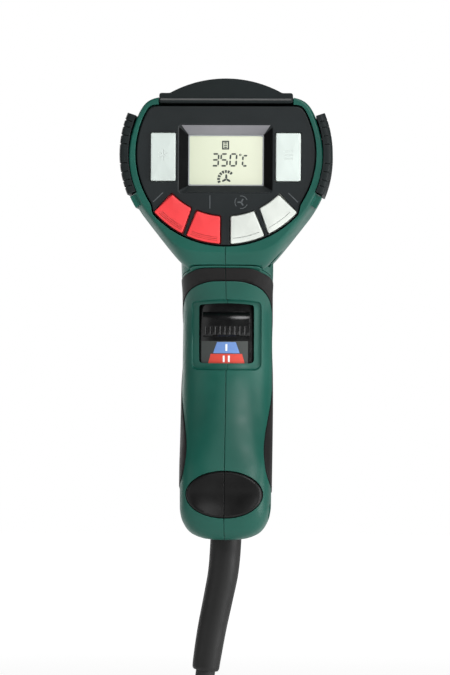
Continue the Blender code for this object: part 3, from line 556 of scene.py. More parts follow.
def show(obj, name, paint, body="body", nodes=(), angle=32.0):
    """Names a piece, paints it, shades it and puts it on its body in place of CAD nodes."""
    if obj.type == "MESH":
        obj.data.shade_smooth()
        obj.data.set_sharp_from_angle(angle=math.radians(angle))
        evened = obj.modifiers.new("evened", "WEIGHTED_NORMAL")
        evened.keep_sharp = True
        obj = applied(obj)
    obj.name = name
    obj.data.name = name
    obj.data.materials.clear()
    obj.data.materials.append(paint)
    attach(obj, body)
    if nodes:
        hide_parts(*nodes)
    return obj


# ---- the housing's form, as in the CAD model but with smooth lines between stations ----

WALL = 2.5
GAP = 0.3
BARREL_END = 165.0
HANDLE_BOTTOM = -163.5
# Each as (depth, value): the head's radius above and below its middle, how far down and up it
# may reach, and the angle below level past which its sides run straight towards the neck.
HEAD_UP = [(0.6, 40.3), (4, 40.8), (12, 41.0), (66, 40.4), (100, 34.0), (130, 31.5), (166, 31.0)]
HEAD_LOW = [(0.6, 41.3), (4, 42.6), (14, 44.0), (62, 43.4), (100, 35.0), (130, 31.5), (166, 31.0)]
HEAD_FLOOR = [
    (0.6, 42.0), (1.8, 43.8), (3.4, 46.2), (5.6, 49.4), (8.4, 52.6), (56, 52.6),
    (64, 49.6), (68, 46.8), (84, 43.0), (104, 37.5), (130, 38.0), (166, 40.0),
]
HEAD_CEILING = [
    (0.6, 24.3), (60, 24.3), (61.5, 25.6), (64, 29.0), (72, 31.2),
    (100, 32.5), (130, 36.0), (166, 40.0),
]
NECK_TURN = [(0.6, 38.0), (62, 38.0), (112, 86.0), (166, 90.0)]
# Each as (height, value): the depths of the handle's rear and front, and its half width.
HANDLE_REAR = [
    (HANDLE_BOTTOM, 6.0), (-158, 2.4), (-150, 0.7), (-142, 0.9), (-134, 3.0), (-124, 6.8),
    (-108, 12.4), (-90, 15.8), (-75, 15.6), (-66, 14.6), (-60, 12.4), (-54, 9.0), (-50, 6.4),
    (-46, 3.9), (-42, 2.2), (-36, 1.6),
]
HANDLE_FRONT = [
    (HANDLE_BOTTOM, 44.0), (-155, 47.5), (-140, 48.5), (-120, 50.0), (-100, 52.0),
    (-80, 53.0), (-66, 55.5), (-54, 60.5), (-46, 66.0), (-36, 68.0),
]
HANDLE_WIDE = [
    (HANDLE_BOTTOM, 10.2), (-163, 11.6), (-161, 14.9), (-158, 17.3), (-154, 18.9), (-150, 19.4),
    (-110, 19.6), (-85, 19.3), (-60, 19.2), (-50, 19.6), (-36, 19.6),
]
MIDDLE_SHARE = 0.44  # the share of its depth at which the handle is widest
SQUARENESS = 0.86  # 1 is an ellipse, less is squarer
REAR_SQUARENESS = [
    (HANDLE_BOTTOM, 0.56), (-154, 0.46), (-134, 0.46), (-118, 0.72), (-100, SQUARENESS),
    (-68, SQUARENESS), (-58, 0.7), (-47, 0.5), (-36, 0.4),
]
LEVEL = 0.05
SHARPNESS = 14.0  # how tightly the head's limits blend into each other


def head_radius(angle, depth, depth_in):
    """How far the head reaches from the barrel axis in a direction, in radians from +X."""
    rise = math.sin(angle)
    share = min(1.0, max(0.0, (rise + 0.4) / 0.8))
    share = share * share * (3 - 2 * share)
    low = smooth_table(HEAD_LOW, depth) - depth_in
    up = smooth_table(HEAD_UP, depth) - depth_in
    radius = low + (up - low) * share
    turn = math.radians(smooth_table(NECK_TURN, depth))
    below = math.asin(max(-1.0, min(1.0, -rise)))
    if below > turn:
        radius = radius / math.cos(below - turn)
    limits = [radius]
    if rise > LEVEL:
        limits.append((smooth_table(HEAD_CEILING, depth) - depth_in) / rise)
    if rise < -LEVEL:
        limits.append((smooth_table(HEAD_FLOOR, depth) - depth_in) / -rise)
    return sum(limit ** -SHARPNESS for limit in limits) ** (-1 / SHARPNESS)


def head_ring(depth, depth_in, steps):
    """A section across the head or barrel, moved inwards."""
    angles = [2 * math.pi * (i + 0.5) / steps for i in range(steps)]
    reach = [head_radius(a, depth, depth_in) for a in angles]
    return at_depth([(r * math.cos(a), r * math.sin(a)) for a, r in zip(angles, reach)], depth)


def handle_ring(z, depth_in, steps):
    """A level section of the handle, moved inwards."""
    rear = smooth_table(HANDLE_REAR, z) + depth_in
    front = smooth_table(HANDLE_FRONT, z) - depth_in
    wide = smooth_table(HANDLE_WIDE, z) - depth_in
    middle = rear + (front - rear) * MIDDLE_SHARE
    ring = []
    for i in range(steps):
        turn = 2 * math.pi * (i + 0.5) / steps
        across = math.cos(turn)
        along = math.sin(turn)
        reach = (middle - rear) if along > 0 else (front - middle)
        power = smooth_table(REAR_SQUARENESS, z) if along > 0 else SQUARENESS
        x = wide * math.copysign(abs(across) ** power, across)
        depth = middle - reach * math.copysign(abs(along) ** power, along)
        ring.append(place(x, depth, z))
    return ring


def surface_depth(x, z):
    """How deep the handle's rear surface lies at a point seen from behind."""
    rear = smooth_table(HANDLE_REAR, z)
    reach = (smooth_table(HANDLE_FRONT, z) - rear) * MIDDLE_SHARE
    power = smooth_table(REAR_SQUARENESS, z)
    across = min(1.0, abs(x) / smooth_table(HANDLE_WIDE, z)) ** (1 / power)
    return rear + reach * (1.0 - math.sqrt(1.0 - across * across) ** power)


def on_handle(outline, below):
    """An outline of (x, z) points laid on the handle's rear surface, or some way below it."""
    return [place(x, surface_depth(x, z) + below, z) for x, z in outline]


def stations(start, end, count):
    return [start + (end - start) * i / (count - 1) for i in range(count)]


def handle_solid(depth_in, start, end, count, steps):
    return loft([handle_ring(z, depth_in, steps) for z in stations(start, end, count)])


def head_skin():
    """The head and barrel, with their rear rim rounded over and their front edge eased."""
    rim = [(0.6, 0.75), (0.68, 0.45), (0.86, 0.2), (1.15, 0.05), (1.6, 0.0)]
    rings = [head_ring(depth, eased, 176) for depth, eased in rim]
    rings += [head_ring(depth, 0.0, 176) for depth in stations(2.6, BARREL_END - 0.8, 104)]
    rings += [head_ring(BARREL_END - 0.25, 0.15, 176), head_ring(BARREL_END, 0.6, 176)]
    return loft(rings)


def handle_skin():
    """The handle, with its lower rim rounded over."""
    levels = stations(-36, -150, 76) + stations(-151, -160.5, 12)
    rings = [handle_ring(z, 0.0, 120) for z in levels]
    rim = ((-161.6, 0.1), (-162.6, 0.5), (-163.2, 1.1), (HANDLE_BOTTOM, 2.2))
    rings += [handle_ring(z, eased, 120) for z, eased in rim]
    return loft(rings)


# ---- outlines ----

PANEL_R = 38.0
PANEL_LOW_R = 41.4
PANEL_LOW_RISE = 2.5
PANEL_TOP = 20.4
PANEL_CORNER = 2.6


def panel_outline(grow):
    """A circle cut level at the top, with a wider arc along its lower edge."""
    side = PANEL_R + grow
    top = PANEL_TOP + grow
    high = math.degrees(math.asin(top / side))
    sides = arc((0, 0), side, high - 4.0, -34, 40)
    lower = arc((0, PANEL_LOW_RISE), PANEL_LOW_R + grow, -42, -138, 60)
    other_side = [(-x, z) for x, z in sides[::-1]]
    edge = side * math.cos(math.radians(high)) - 0.6
    made = sides + lower + other_side + [(-edge, top), (edge, top)]
    return even(rounded(made, PANEL_CORNER), 240)


KEY_ARCS = ((5.5, 32.0), (2.5, 40.5))  # centre height and radius of the keys' two edges
KEY_CORNER = 0.6


def key_outline(side, inner, outer, grow=0.0):
    """A key between two arcs, its corners given by how far across each one lies."""
    points = []
    spans = ((inner[0] - grow, inner[1] + grow), (outer[1] + grow, outer[0] - grow))
    for (start, end), (rise, reach), outwards in zip(spans, KEY_ARCS, (-1, 1)):
        reach += grow * outwards
        for i in range(5):
            x = start + (end - start) * i / 4
            points.append((side * x, rise - math.sqrt(reach * reach - x * x)))
    return even(rounded(points, KEY_CORNER), 120)


def rectangle(x, z, corner):
    return even(rounded(corners_of(x, z), corner), 96)


def widened(span, grow):
    return (span[0] - grow, span[1] + grow)


def mirrored(span, side, about=0.0):
    """A span given for the right side, or its mirror image for the left."""
    return span if side > 0 else (about - span[1], about - span[0])


INNER_KEY = ((2.3, 12.0), (2.3, 16.4))
OUTER_KEY = ((14.5, 22.4), (18.3, 30.1))
BUTTON_X = (21.2, 31.6)
BUTTON_Z = (-11.5, 8.7)
FOOT_Z = -143.9
FOOT_HALF = (16.2, 9.8)
CORD_DEPTH = 26.0
SCREWS = {  # depth and height
    "neck": (13.0, -44.0), "handle": (12.5, -151.5), "head": (72.0, -39.5), "barrel": (98.0, -31.6),
}
SIDES = {"left": -1, "right": 1}
GRIP_UPPER = [
    (-4, -47.9), (4.6, -48.0), (5.6, -48.35), (6.6, -48.85), (8.0, -49.6), (10.2, -50.5),
    (14.0, -51.5), (20, -52.8), (30, -54.7), (60, -59.5), (74, -62.0),
]
GRIP_LOWER = [
    (74, -149.0), (50, -148.0), (38, -146.6), (28, -144.6), (18, -142.2), (11.5, -140.4),
    (8.2, -138.4), (7.0, -135.2), (7.4, -131.6), (9.6, -126.8), (13.2, -121.2), (18.2, -114.0),
    (25.0, -105.0), (32.0, -96.5), (36.6, -88.0), (37.8, -79.0), (35.8, -72.0), (31.0, -66.5),
    (25, -62.0), (17.6, -58.1), (13.7, -56.2), (11.0, -54.8), (9.6, -53.9), (8.6, -53.15),
    (7.6, -52.6), (-4, -52.2),
]


def grip_outline(grow):
    """The rubber grip from the side, its corners eased into flowing lines."""
    whole = rounded(GRIP_UPPER + GRIP_LOWER, 6.0, 5)
    return inset(even(whole, 260), -grow)


def sector(radii, angles, depth, steps=60):
    """A curved plate round the barrel axis, between two radii and two angles in degrees."""
    outer = arc((0, 0), radii[1], angles[0], angles[1], steps)
    inner = arc((0, 0), radii[0], angles[1], angles[0], steps)
    return plate(outer + inner, depth)


def foot_oval(grow):
    """The rest pad's outline, moved outwards."""
    half_x, half_z = (half + grow for half in FOOT_HALF)
    return [(half_x * math.cos(t), FOOT_Z + half_z * math.sin(t)) for t in full_turn(96)]


ACROSS = (-40, 40)  # wider than the head
WHOLE = ((-20, 300), (-200, 60))  # depths and heights that take in the whole housing


def half_of(obj, side):
    """The part of a solid on one side of the parting line."""
    return common(obj, box(mirrored((GAP / 2, 80.0), side), *WHOLE))


# ---- housing ----


WINDOW_ARCH_R = 90.0
WINDOW_HOLE = {"half": 11.8, "low": -88.7, "high": -63.0, "corner": 1.8}
WINDOW_MOUTH = {"half": 15.0, "low": -91.7, "high": -61.3, "corner": 3.2}
WINDOW_END = 27.0
# The chamfer's section: the share of the way from hole to mouth, and how far below the surface.
WINDOW_CHAMFER = (
    (1.0, -4.0), (1.0, 0.1), (0.96, 0.8), (0.84, 1.4), (0.6, 1.8), (0.3, 2.05), (0.0, 2.15),
)


def window_outline(half, low, high, corner):
    """A rectangle with rounded corners and a slightly arched top."""
    bow = math.degrees(math.asin(half / WINDOW_ARCH_R))
    top = arc((0, high - WINDOW_ARCH_R), WINDOW_ARCH_R, 90 - bow, 90 + bow, 12)
    return [Vector(p) for p in even(rounded([(-half, low), (half, low), *top], corner), 160)]


def window_cutter():
    """The thumb window: a hole inside a wide hollow chamfer that follows the handle's surface."""
    hole = window_outline(**WINDOW_HOLE)
    mouth = window_outline(**WINDOW_MOUTH)
    rings = []
    for share, below in WINDOW_CHAMFER:
        between = [inner.lerp(outer, share) for inner, outer in zip(hole, mouth)]
        rings.append(on_handle(between, below))
    rings.append(at_depth(hole, WINDOW_END))
    return loft(rings)


GROOVE_LIFT = (1.35, 0.85)  # how far above the grip the groove's two edges run
GROOVE_DEPTH = 0.45


def lifted(points, lift):
    """A smooth open line through points, moved up."""
    table = [(d, z + lift) for d, z in points]
    return [(d, smooth_table(table, d)) for d in stations(table[0][0], table[-1][0], 50)]


def neck_groove():
    """A fine line moulded into the neck, just above the grip."""
    upper, lower = (lifted(GRIP_UPPER, lift) for lift in GROOVE_LIFT)
    slab = side_plate(upper + lower[::-1], ACROSS)
    return cut(slab, handle_solid(GROOVE_DEPTH, -38, -70, 34, 96))


LUG_RADII = (36, 44.4)  # a lug in the wall below each side cover
LUG_ANGLES = (-31, -24.2)
LUG_DEPTH = (2.5, 20)
PANEL_SEAT = (-3, 4.4)
HOOD_SEAT = ((-28.5, 28.5), (-3, 7), (PANEL_TOP - 1, 40))
COVER_SEAT_RADII = (40.9, 60)
COVER_SEAT_ANGLES = (-23.5, 23.5)
COVER_SEAT_DEPTH = (-3, 46.3)
INTAKE_HOLE = ((9, 40), (-12.5, 12.5))  # depths and heights
SLEEVE_HOLE_R = 7.2
GRIP_POCKET = 1.7
BOSS_R = 4.0
SCREW_BORE_R = 1.7
HEAD_BORE_R = 3.6
HEAD_SEAT_X = 12.5


def housing_body():
    """Both halves in one, hollow and with every opening, before it is parted."""
    body = join(head_skin(), handle_skin())
    for side in SIDES.values():
        body = join(body, sector(LUG_RADII, mirrored(LUG_ANGLES, side, 180), LUG_DEPTH, 10))
    head_room = loft([head_ring(d, WALL, 90) for d in stations(4.2, BARREL_END + 2, 60)])
    handle_room = handle_solid(WALL, -39, -161, 60, 60)
    rooms = join(head_room, handle_room)
    for depth, z in SCREWS.values():
        rooms = cut(rooms, rod((-60, depth, z), (60, depth, z), BOSS_R))
    body = cut(body, rooms, plate(panel_outline(GAP), PANEL_SEAT))
    body = cut(body, box(*HOOD_SEAT))
    for side in SIDES.values():
        angles = mirrored(COVER_SEAT_ANGLES, side, 180)
        body = cut(body, sector(COVER_SEAT_RADII, angles, COVER_SEAT_DEPTH))
        body = cut(body, box(mirrored((30, 60), side), *INTAKE_HOLE))
    grip = cut(side_plate(grip_outline(GAP), ACROSS), handle_solid(GRIP_POCKET, -42, -156, 70, 110))
    body = cut(body, window_cutter(), grip, neck_groove())
    body = cut(body, loft([on_handle(foot_oval(GAP), below) for below in (-4.0, PAD_POCKET)]))
    return cut(body, rod((0, CORD_DEPTH, -150), (0, CORD_DEPTH, -175), SLEEVE_HOLE_R))


LIP_IN = 1.3  # how far inside the outer surface the joint's lip starts
LIP_X = {"left": (-0.8, 0.3), "right": (-0.8, 0.5)}  # the lip on the left half, its groove right


def seam_core():
    """The inner part of the wall, where one half's lip reaches across the parting line."""
    head = loft([head_ring(d, LIP_IN, 90) for d in stations(1.9, BARREL_END + 2, 60)])
    return join(head, handle_solid(LIP_IN, -39, -162, 60, 60))


def build_housing():
    """The two housing halves, with a lip across their joint, and the four screws."""
    body = housing_body()
    core = seam_core()
    for name, side in SIDES.items():
        shell = half_of(copy_of(body), side)
        lip = common(copy_of(core), box(LIP_X[name], *WHOLE))
        shell = join(shell, common(lip, copy_of(body))) if side < 0 else cut(shell, lip)
        for depth, z in SCREWS.values():
            shell = cut(shell, rod((-11, depth, z), (60, depth, z), SCREW_BORE_R))
            if side > 0:
                shell = cut(shell, rod((HEAD_SEAT_X, depth, z), (60, depth, z), HEAD_BORE_R))
        nodes = [f"housing_{name}"]
        show(shell, f"shell_{name}", GREEN, nodes=nodes, angle=28)
    for leftover in (body, core):
        bpy.data.objects.remove(leftover)
    for name, (depth, z) in SCREWS.items():
        screw = join(rod((-9, depth, z), (13.5, depth, z), 1.4), screw_head(depth, z))
        show(screw, f"screw_{name}", ZINC, nodes=[f"housing_screw_{name}"])


def screw_head(depth, z):
    """A pan head with a six-lobed recess, facing right."""
    rings = []
    for x, radius in ((12.8, 3.2), (14.6, 3.2), (15.3, 2.8), (15.6, 2.1)):
        rings.append([
            place(x, depth + radius * math.cos(t), z + radius * math.sin(t)) for t in full_turn(48)
        ])
    lobes = []
    for t in full_turn(72):
        reach = 1.35 + 0.28 * math.cos(6 * t)
        lobes.append((depth + reach * math.cos(t), z + reach * math.sin(t)))
    return cut(loft(rings), side_plate(lobes, (14.1, 17)))


GRIP_PROUD = 0.3
GRIP_UNDER = 1.4


def build_grips():
    """The soft grip and the rest pad, each in two halves."""
    under = handle_solid(GRIP_UNDER, -30, -170, 90, 110)
    skin = cut(handle_solid(-GRIP_PROUD, -44, -156, 110, 150), under)
    skin = common(skin, side_plate(grip_outline(0.0), ACROSS))
    pad = pad_solid()
    wholes = ((skin, "soft_grip", RUBBER, "grip", 28), (pad, "rest_pad", PAD, "foot_pad", 32))
    for whole, title, paint, node, angle in wholes:
        for name, side in SIDES.items():
            half = half_of(copy_of(whole), side)
            nodes = [f"{node}_{name}"]
            show(half, f"{title}_{name}", paint, nodes=nodes, angle=angle)
        bpy.data.objects.remove(whole)


PAD_RIM = ((0.0, 2.2), (0.0, 0.25), (0.12, -0.15), (0.4, -0.4), (0.9, -0.48))
PAD_DISH = 2.0
PAD_POCKET = 2.3


def pad_solid():
    """The oval rest pad on the handle's surface: a rounded rim, and a face dished in the middle."""
    rings = [on_handle(foot_oval(-eased), below) for eased, below in PAD_RIM]
    eased, proud = PAD_RIM[-1]
    for i in range(1, 16):
        share = 1.0 - i / 16
        ring = [(x * share, FOOT_Z + (z - FOOT_Z) * share) for x, z in foot_oval(-eased)]
        rings.append(on_handle(ring, PAD_DISH * (1.0 - share * share) + proud))
    return loft(rings)


# ---- hood, side covers, panel, display and keys ----


HOOD_HALF = 28.2
HOOD_LOW = 21.3
HOOD_SIDE_TOP = 25.6
HOOD_ARCH = arc((0, -17.3), 49.0, 61, 119, 70)
DOME_FLOOR = 24.6
DOME_SLOPE_START = 46.0
DOME_END = 59.6
DOME_DROP = 0.28  # the share of its height that the dome loses towards its front
# What sets the rear face back above a proud lip with a rounded upper edge, as (depth, height).
STEP = [
    (-1.0, 22.3), (0.0, 22.3), (0.2, 22.42), (0.75, 23.2), (0.9, 23.4), (0.9, 36.0), (-1.0, 36.0),
]
# A thin strip on the lip's rounded edge, painted paler grey as a painted highlight.
HIGHLIGHT_STRIP = [(0.184, 22.43), (0.135, 22.466), (0.685, 23.246), (0.734, 23.21)]


def build_hood():
    """The black hood: a bar over the panel, with a fine step, and a domed top running forwards."""
    corners = corners_of((-HOOD_HALF, HOOD_HALF), (HOOD_LOW, HOOD_SIDE_TOP))
    corners[3:3] = HOOD_ARCH
    hood = soft_plate(even(rounded(corners, 1.0), 220), 0.0, 6.6, 0.7)
    front = [(23.6, DOME_FLOOR), *HOOD_ARCH, (-23.6, DOME_FLOOR)]
    rings = []
    for depth in stations(5.0, DOME_END, 60):
        drop = max(0.0, (depth - DOME_SLOPE_START) / (DOME_END - DOME_SLOPE_START))
        share = 1.0 - DOME_DROP * drop * drop
        lowered = [(x, DOME_FLOOR + max(0.0, z - DOME_FLOOR) * share) for x, z in front]
        rings.append(at_depth(lowered, depth))
    hood = join(hood, loft(rings))
    hood = cut(hood, box((-21, 21), (9, 58), (24.0, 25.7)), side_plate(STEP, (-29.5, 29.5)))
    show(hood, "hood", BLACK, nodes=["top_hood"], angle=28)
    # The paler strip on the lip's edge is a painted highlight.
    show(side_plate(HIGHLIGHT_STRIP, (-27.6, 27.6)), "hood_edge", LIP)


COVER_R = 45.1
# How far the cover's outer face is eased in at each depth.
COVER_EDGES = (
    (0.0, 2.4), (0.25, 1.4), (0.8, 0.7), (1.7, 0.25),
    (3.0, 0.0), (45.2, 0.0), (45.7, 0.2), (46.0, 0.6),
)
GROOVE_ANGLES = (-18.6, -15.0, -10.2, -5.4, 5.4, 10.2, 15.0, 18.6)
GROOVE_HALF = 0.42
INTAKE_ANGLES = (-12.6, 0.0, 12.6)
INTAKE_HALF = 1.5


def build_covers():
    """The side covers: fine grooves that run on over the rear edge, and three intake slots each."""
    for name, side in SIDES.items():
        turn = 0 if side > 0 else 180
        rings = []
        for depth, ease in COVER_EDGES:
            points = arc((0, 0), COVER_R - ease, turn - 22.6, turn + 22.6, 90)
            points += arc((0, 0), 41.2, turn + 22.9, turn - 22.9, 90)
            rings.append(at_depth(points, depth))
        cover = loft(rings)
        for angle in GROOVE_ANGLES:
            span = widened((turn + angle, turn + angle), GROOVE_HALF)
            cover = cut(cover, sector((44.5, 50), span, (-2, 43), 6))
            cover = cut(cover, sector((41.8, 50), span, (-2, 0.7), 6))
        for angle in INTAKE_ANGLES:
            span = widened((turn + angle, turn + angle), INTAKE_HALF)
            cover = cut(cover, sector((39, 50), span, (10, 38), 6))
        nodes = [f"intake_cover_{name}"]
        show(cover, f"side_cover_{name}", BLACK, nodes=nodes, angle=28)


DISPLAY_MOUTH = ((-19.7, 19.7), (-16.4, 12.1))
DISPLAY_SILL = ((-16.1, 16.1), (-13.5, 8.3))
MOUTH_DEPTH = 1.75
SILL_DEPTH = 4.8
KEY_FACE = 0.3
KEY_ROOM = 0.4  # between a key and its hole
POST_X = 30.0
POST_Z = 14.0


def stepped(levels):
    """A cutter through outlines at rising depths, from (depth, outline) pairs."""
    return loft([at_depth(outline, depth) for depth, outline in levels])


def build_panel():
    """The panel's plate, with a funnel down to the display and holes for the keys."""
    panel = soft_plate(panel_outline(-0.25), 1.4, 3.4, 0.6)
    panel = join(panel, box((-20.2, 20.2), (3.0, 6.2), (-17.4, 12.9)))
    for x in (-POST_X, POST_X):
        panel = join(panel, rod((x, 3.0, POST_Z), (x, 10.6, POST_Z), 2.6))
        panel = cut(panel, rod((x, 4.6, POST_Z), (x, 12.0, POST_Z), 1.5))
    mouth = rectangle(*DISPLAY_MOUTH, 0.9)
    sill = rectangle(*DISPLAY_SILL, 0.5)
    flare = inset(mouth, -0.5)
    funnel = stepped([
        (0.6, flare), (1.4, flare), (MOUTH_DEPTH, mouth), (SILL_DEPTH, sill), (5.4, sill),
    ])
    panel = cut(panel, funnel, box((-17.6, 17.6), (5.0, 7.0), (-15.0, 9.8)))
    for side in SIDES.values():
        for corners in (INNER_KEY, OUTER_KEY):
            hole = key_outline(side, *corners, KEY_ROOM)
            flare = inset(hole, -0.3)
            panel = cut(panel, stepped([(1.0, flare), (1.4, flare), (1.7, hole), (5.0, hole)]))
        across = mirrored(widened(BUTTON_X, KEY_ROOM), side)
        panel = cut(panel, plate(rectangle(across, widened(BUTTON_Z, KEY_ROOM), 1.0), (0, 5)))
    show(panel, "panel", PANEL, nodes=["control_panel"], angle=28)


def funnel_strip(corners):
    """A thin strip on one slope of the display's funnel, between two neighbouring corners: painted
    light on the brow, painted shade on the side slopes.
    """
    mouth = [Vector((x, MOUTH_DEPTH, z)) for x, z in corners[0]]
    sill = [Vector((x, SILL_DEPTH, z)) for x, z in corners[1]]
    along = (mouth[1] - mouth[0]).normalized()
    face = [mouth[0] + along, mouth[1] - along, sill[1] - along * 0.2, sill[0] + along * 0.2]
    inward = (sill[0] + sill[1] - mouth[0] - mouth[1]).cross(along).normalized()
    if inward.y > 0:
        inward = -inward
    return loft([[place(*(point + inward * off)) for point in face] for off in (0.03, 0.17)])


def corner_pair(span, first, second):
    """Two corners of a rectangle, each given as (column, row)."""
    return [(span[0][column], span[1][row]) for column, row in (first, second)]


def build_display():
    # The brow strip is painted pale grey as painted light from below, the side slopes near black as
    # painted shade; the sill keeps the panel's own colour.
    slopes = (
        ("brow", (0, 1), (1, 1), LIT_BROW), ("left_slope", (0, 0), (0, 1), SHADED),
        ("right_slope", (1, 0), (1, 1), SHADED), ("sill_slope", (0, 0), (1, 0), PANEL),
    )
    for name, first, second, paint in slopes:
        corners = [corner_pair(span, first, second) for span in (DISPLAY_MOUTH, DISPLAY_SILL)]
        show(funnel_strip(corners), f"display_{name}", paint)
    glass = soft_plate(rectangle((-17.2, 17.2), (-14.6, 9.4), 0.4), 5.3, 6.2, 0.15)
    show(glass, "lcd", LCD, nodes=["display_window"])
    frame_line = soft_plate(rectangle((-16.05, 16.05), (-13.45, 8.25), 0.5), 4.95, 5.28, 0.1)
    frame_line = cut(frame_line, plate(rectangle((-15.5, 15.5), (-12.9, 7.7), 0.4), (4, 6)))
    show(frame_line, "lcd_frame", GREY_INK)
    ink = symbols()
    show(ink, "lcd_symbols", LCD_INK)


INK_DEPTH = (5.24, 5.31)


def strokes(outlines, depth):
    """Several flat shapes as one piece."""
    shape = bmesh.new()
    for outline in outlines:
        add_skin(shape, [at_depth(outline, d) for d in depth])
    return finish_mesh(shape, "strokes")


def bar(x0, z0, x1, z1, half):
    """A stroke between two points with pointed ends."""
    start = Vector((x0, z0))
    end = Vector((x1, z1))
    along = (end - start).normalized()
    side = Vector((-along.y, along.x)) * half
    first = start + along * half
    last = end - along * half
    return [(c.x, c.y) for c in (start, first + side, last + side, end, last - side, first - side)]


SEGMENTS = {"0": "abcdef", "3": "abcdg", "5": "acdfg", "C": "adef"}
DIGIT_HALF = 0.34  # a segment's half thickness
DIGIT_GAP = 0.22
DIGIT_LEAN = 0.06


def digit(sign, x, z, width, height):
    """A seven-segment figure with its lower left corner at (x, z), leaning slightly right."""
    middle = z + height / 2
    top = z + height
    right = x + width
    gap = DIGIT_GAP
    lines = {
        "a": (x + gap, top, right - gap, top), "g": (x + gap, middle, right - gap, middle),
        "d": (x + gap, z, right - gap, z), "f": (x, middle + gap, x, top - gap),
        "b": (right, middle + gap, right, top - gap), "e": (x, z + gap, x, middle - gap),
        "c": (right, z + gap, right, middle - gap),
    }
    made = []
    for name in SEGMENTS[sign]:
        outline = bar(*lines[name], DIGIT_HALF)
        made.append([(px + (pz - z) * DIGIT_LEAN, pz) for px, pz in outline])
    return made


def ring_part(centre, radii, angles, steps=8):
    return arc(centre, radii[1], *angles, steps) + arc(centre, radii[0], *angles[::-1], steps)


def symbols():
    """What the display shows: a temperature, a segmented gauge, a fan and a small sign."""
    shapes = []
    for sign, x in (("3", -6.0), ("5", -2.3), ("0", 1.6)):
        shapes += digit(sign, x, -4.9, 2.6, 5.0)
    shapes.append(ring_part((6.0, -0.25), (0.2, 0.48), (0, 350), 20))
    shapes += digit("C", 6.9, -4.9, 2.1, 4.3)
    centre = (0.1, -10.5)
    for i in range(8):
        start = 208 - i * 21.5
        shapes.append(ring_part(centre, (2.6, 3.8), (start, start - 15)))
    for i in range(3):
        turn = math.radians(90 + 120 * i)
        tip = (centre[0] + 2.1 * math.cos(turn), centre[1] + 2.1 * math.sin(turn))
        shapes.append(bar(*centre, *tip, 0.42))
    sign = [(-1.75, 2.0), (1.25, 2.0), (1.25, 5.7), (-1.75, 5.7)]
    hole = [(-1.2, 2.55), (0.7, 2.55), (0.7, 5.15), (-1.2, 5.15)]
    for i in range(4):
        j = (i + 1) % 4
        shapes.append([sign[i], sign[j], hole[j], hole[i]])
    for z in (2.95, 3.85, 4.75):
        shapes.append(bar(-0.95, z, 0.45, z, 0.26))
    return strokes(shapes, INK_DEPTH)


def panel_marks():
    """Fine raised marks under the display: a line, an airflow sign and two slanted lines."""
    shapes = [bar(-6.6, -23.2, -6.6, -17.4, 0.16)]
    for side in SIDES.values():
        shapes.append(bar(side * 30.6, -20.4, side * 26.4, -16.4, 0.16))
    centre = (6.6, -20.4)
    for i in range(3):
        start = 100 + 120 * i
        shapes.append(ring_part(centre, (2.5, 2.8), (start, start - 80), 10))
        turn = math.radians(60 + 120 * i)
        tip = (centre[0] + 1.7 * math.cos(turn), centre[1] + 1.7 * math.sin(turn))
        shapes.append(bar(*centre, *tip, 0.3))
    marks = strokes(shapes, (1.3, 1.45))
    show(marks, "panel_marks", MARK_INK)


FLANGE = 0.6  # how far a key's flange reaches past its face, to hold it behind the panel
FLANGE_CORNER = 0.8
FLANGE_DEPTH = (3.8, 5.2)
RED_ROWS = (39.3, 38.6, 37.9)
WHITE_ROWS = (38.3,)
ROW_HALF = 0.1


def build_keys():
    """The four curved keys and the two buttons, each with its fine moulded lines."""
    keys = (
        ("temperature_down", -1, OUTER_KEY, RED, "red_key"),
        ("temperature_up", -1, INNER_KEY, RED, "red_key"),
        ("airflow_down", 1, INNER_KEY, WHITE, "white_key"),
        ("airflow_up", 1, OUTER_KEY, WHITE, "white_key"),
    )
    for name, side, corners, paint, slot in keys:
        key = soft_plate(key_outline(side, *corners), KEY_FACE, 4.2, 0.4, 0.3)
        key = join(key, plate(key_outline(side, *corners, FLANGE), FLANGE_DEPTH))
        for row in RED_ROWS if paint is RED else WHITE_ROWS:
            key = cut(key, row_groove(side, corners, row))
        show(key, f"key_{name}", paint, name, [f"{name}_key"], 28)
    for name, side in (("cool_air", -1), ("program", 1)):
        face = rectangle(mirrored(BUTTON_X, side), BUTTON_Z, 0.5)
        button = soft_plate(face, KEY_FACE, 4.2, 0.4, 0.25)
        wide = mirrored(widened(BUTTON_X, FLANGE), side)
        flange = plate(rectangle(wide, widened(BUTTON_Z, FLANGE), FLANGE_CORNER), FLANGE_DEPTH)
        button = join(button, flange)
        for mark in snowflake(side) if side < 0 else list_marks(side):
            button = cut(button, plate(mark, (-1.0, KEY_FACE - 0.14)))
        show(button, f"{name}_pad", PALE, name, [f"{name}_button"], 28)


def row_groove(side, corners, reach):
    """A fine groove across a key, along an arc near its outer edge."""
    rise, outer_reach = KEY_ARCS[1]
    inner_reach = KEY_ARCS[0][1]
    share = (reach - inner_reach) / (outer_reach - inner_reach)
    start = corners[0][0] + (corners[1][0] - corners[0][0]) * share + 1.0
    end = corners[0][1] + (corners[1][1] - corners[0][1]) * share - 1.0
    middle = [start + (end - start) * t / 20 for t in range(21)]
    outer = [(side * x, rise - math.sqrt((reach + ROW_HALF) ** 2 - x * x)) for x in middle]
    inner = [(side * x, rise - math.sqrt((reach - ROW_HALF) ** 2 - x * x)) for x in middle[::-1]]
    return plate(outer + inner, (-1.0, KEY_FACE + 0.3))


BUTTON_MIDDLE = (26.4, -0.6)
SNOW_ARM = 2.3
SNOW_HALF = 0.2
LIST_HALF = (1.9, 0.24)  # half length and half thickness of a line
LIST_PITCH = 1.6


def snowflake(side):
    """Six short arms for cold air."""
    x, z = side * BUTTON_MIDDLE[0], BUTTON_MIDDLE[1]
    marks = []
    for i in range(3):
        turn = math.radians(30 + 60 * i)
        dx, dz = SNOW_ARM * math.cos(turn), SNOW_ARM * math.sin(turn)
        marks.append(bar(x - dx, z - dz, x + dx, z + dz, SNOW_HALF))
    return marks


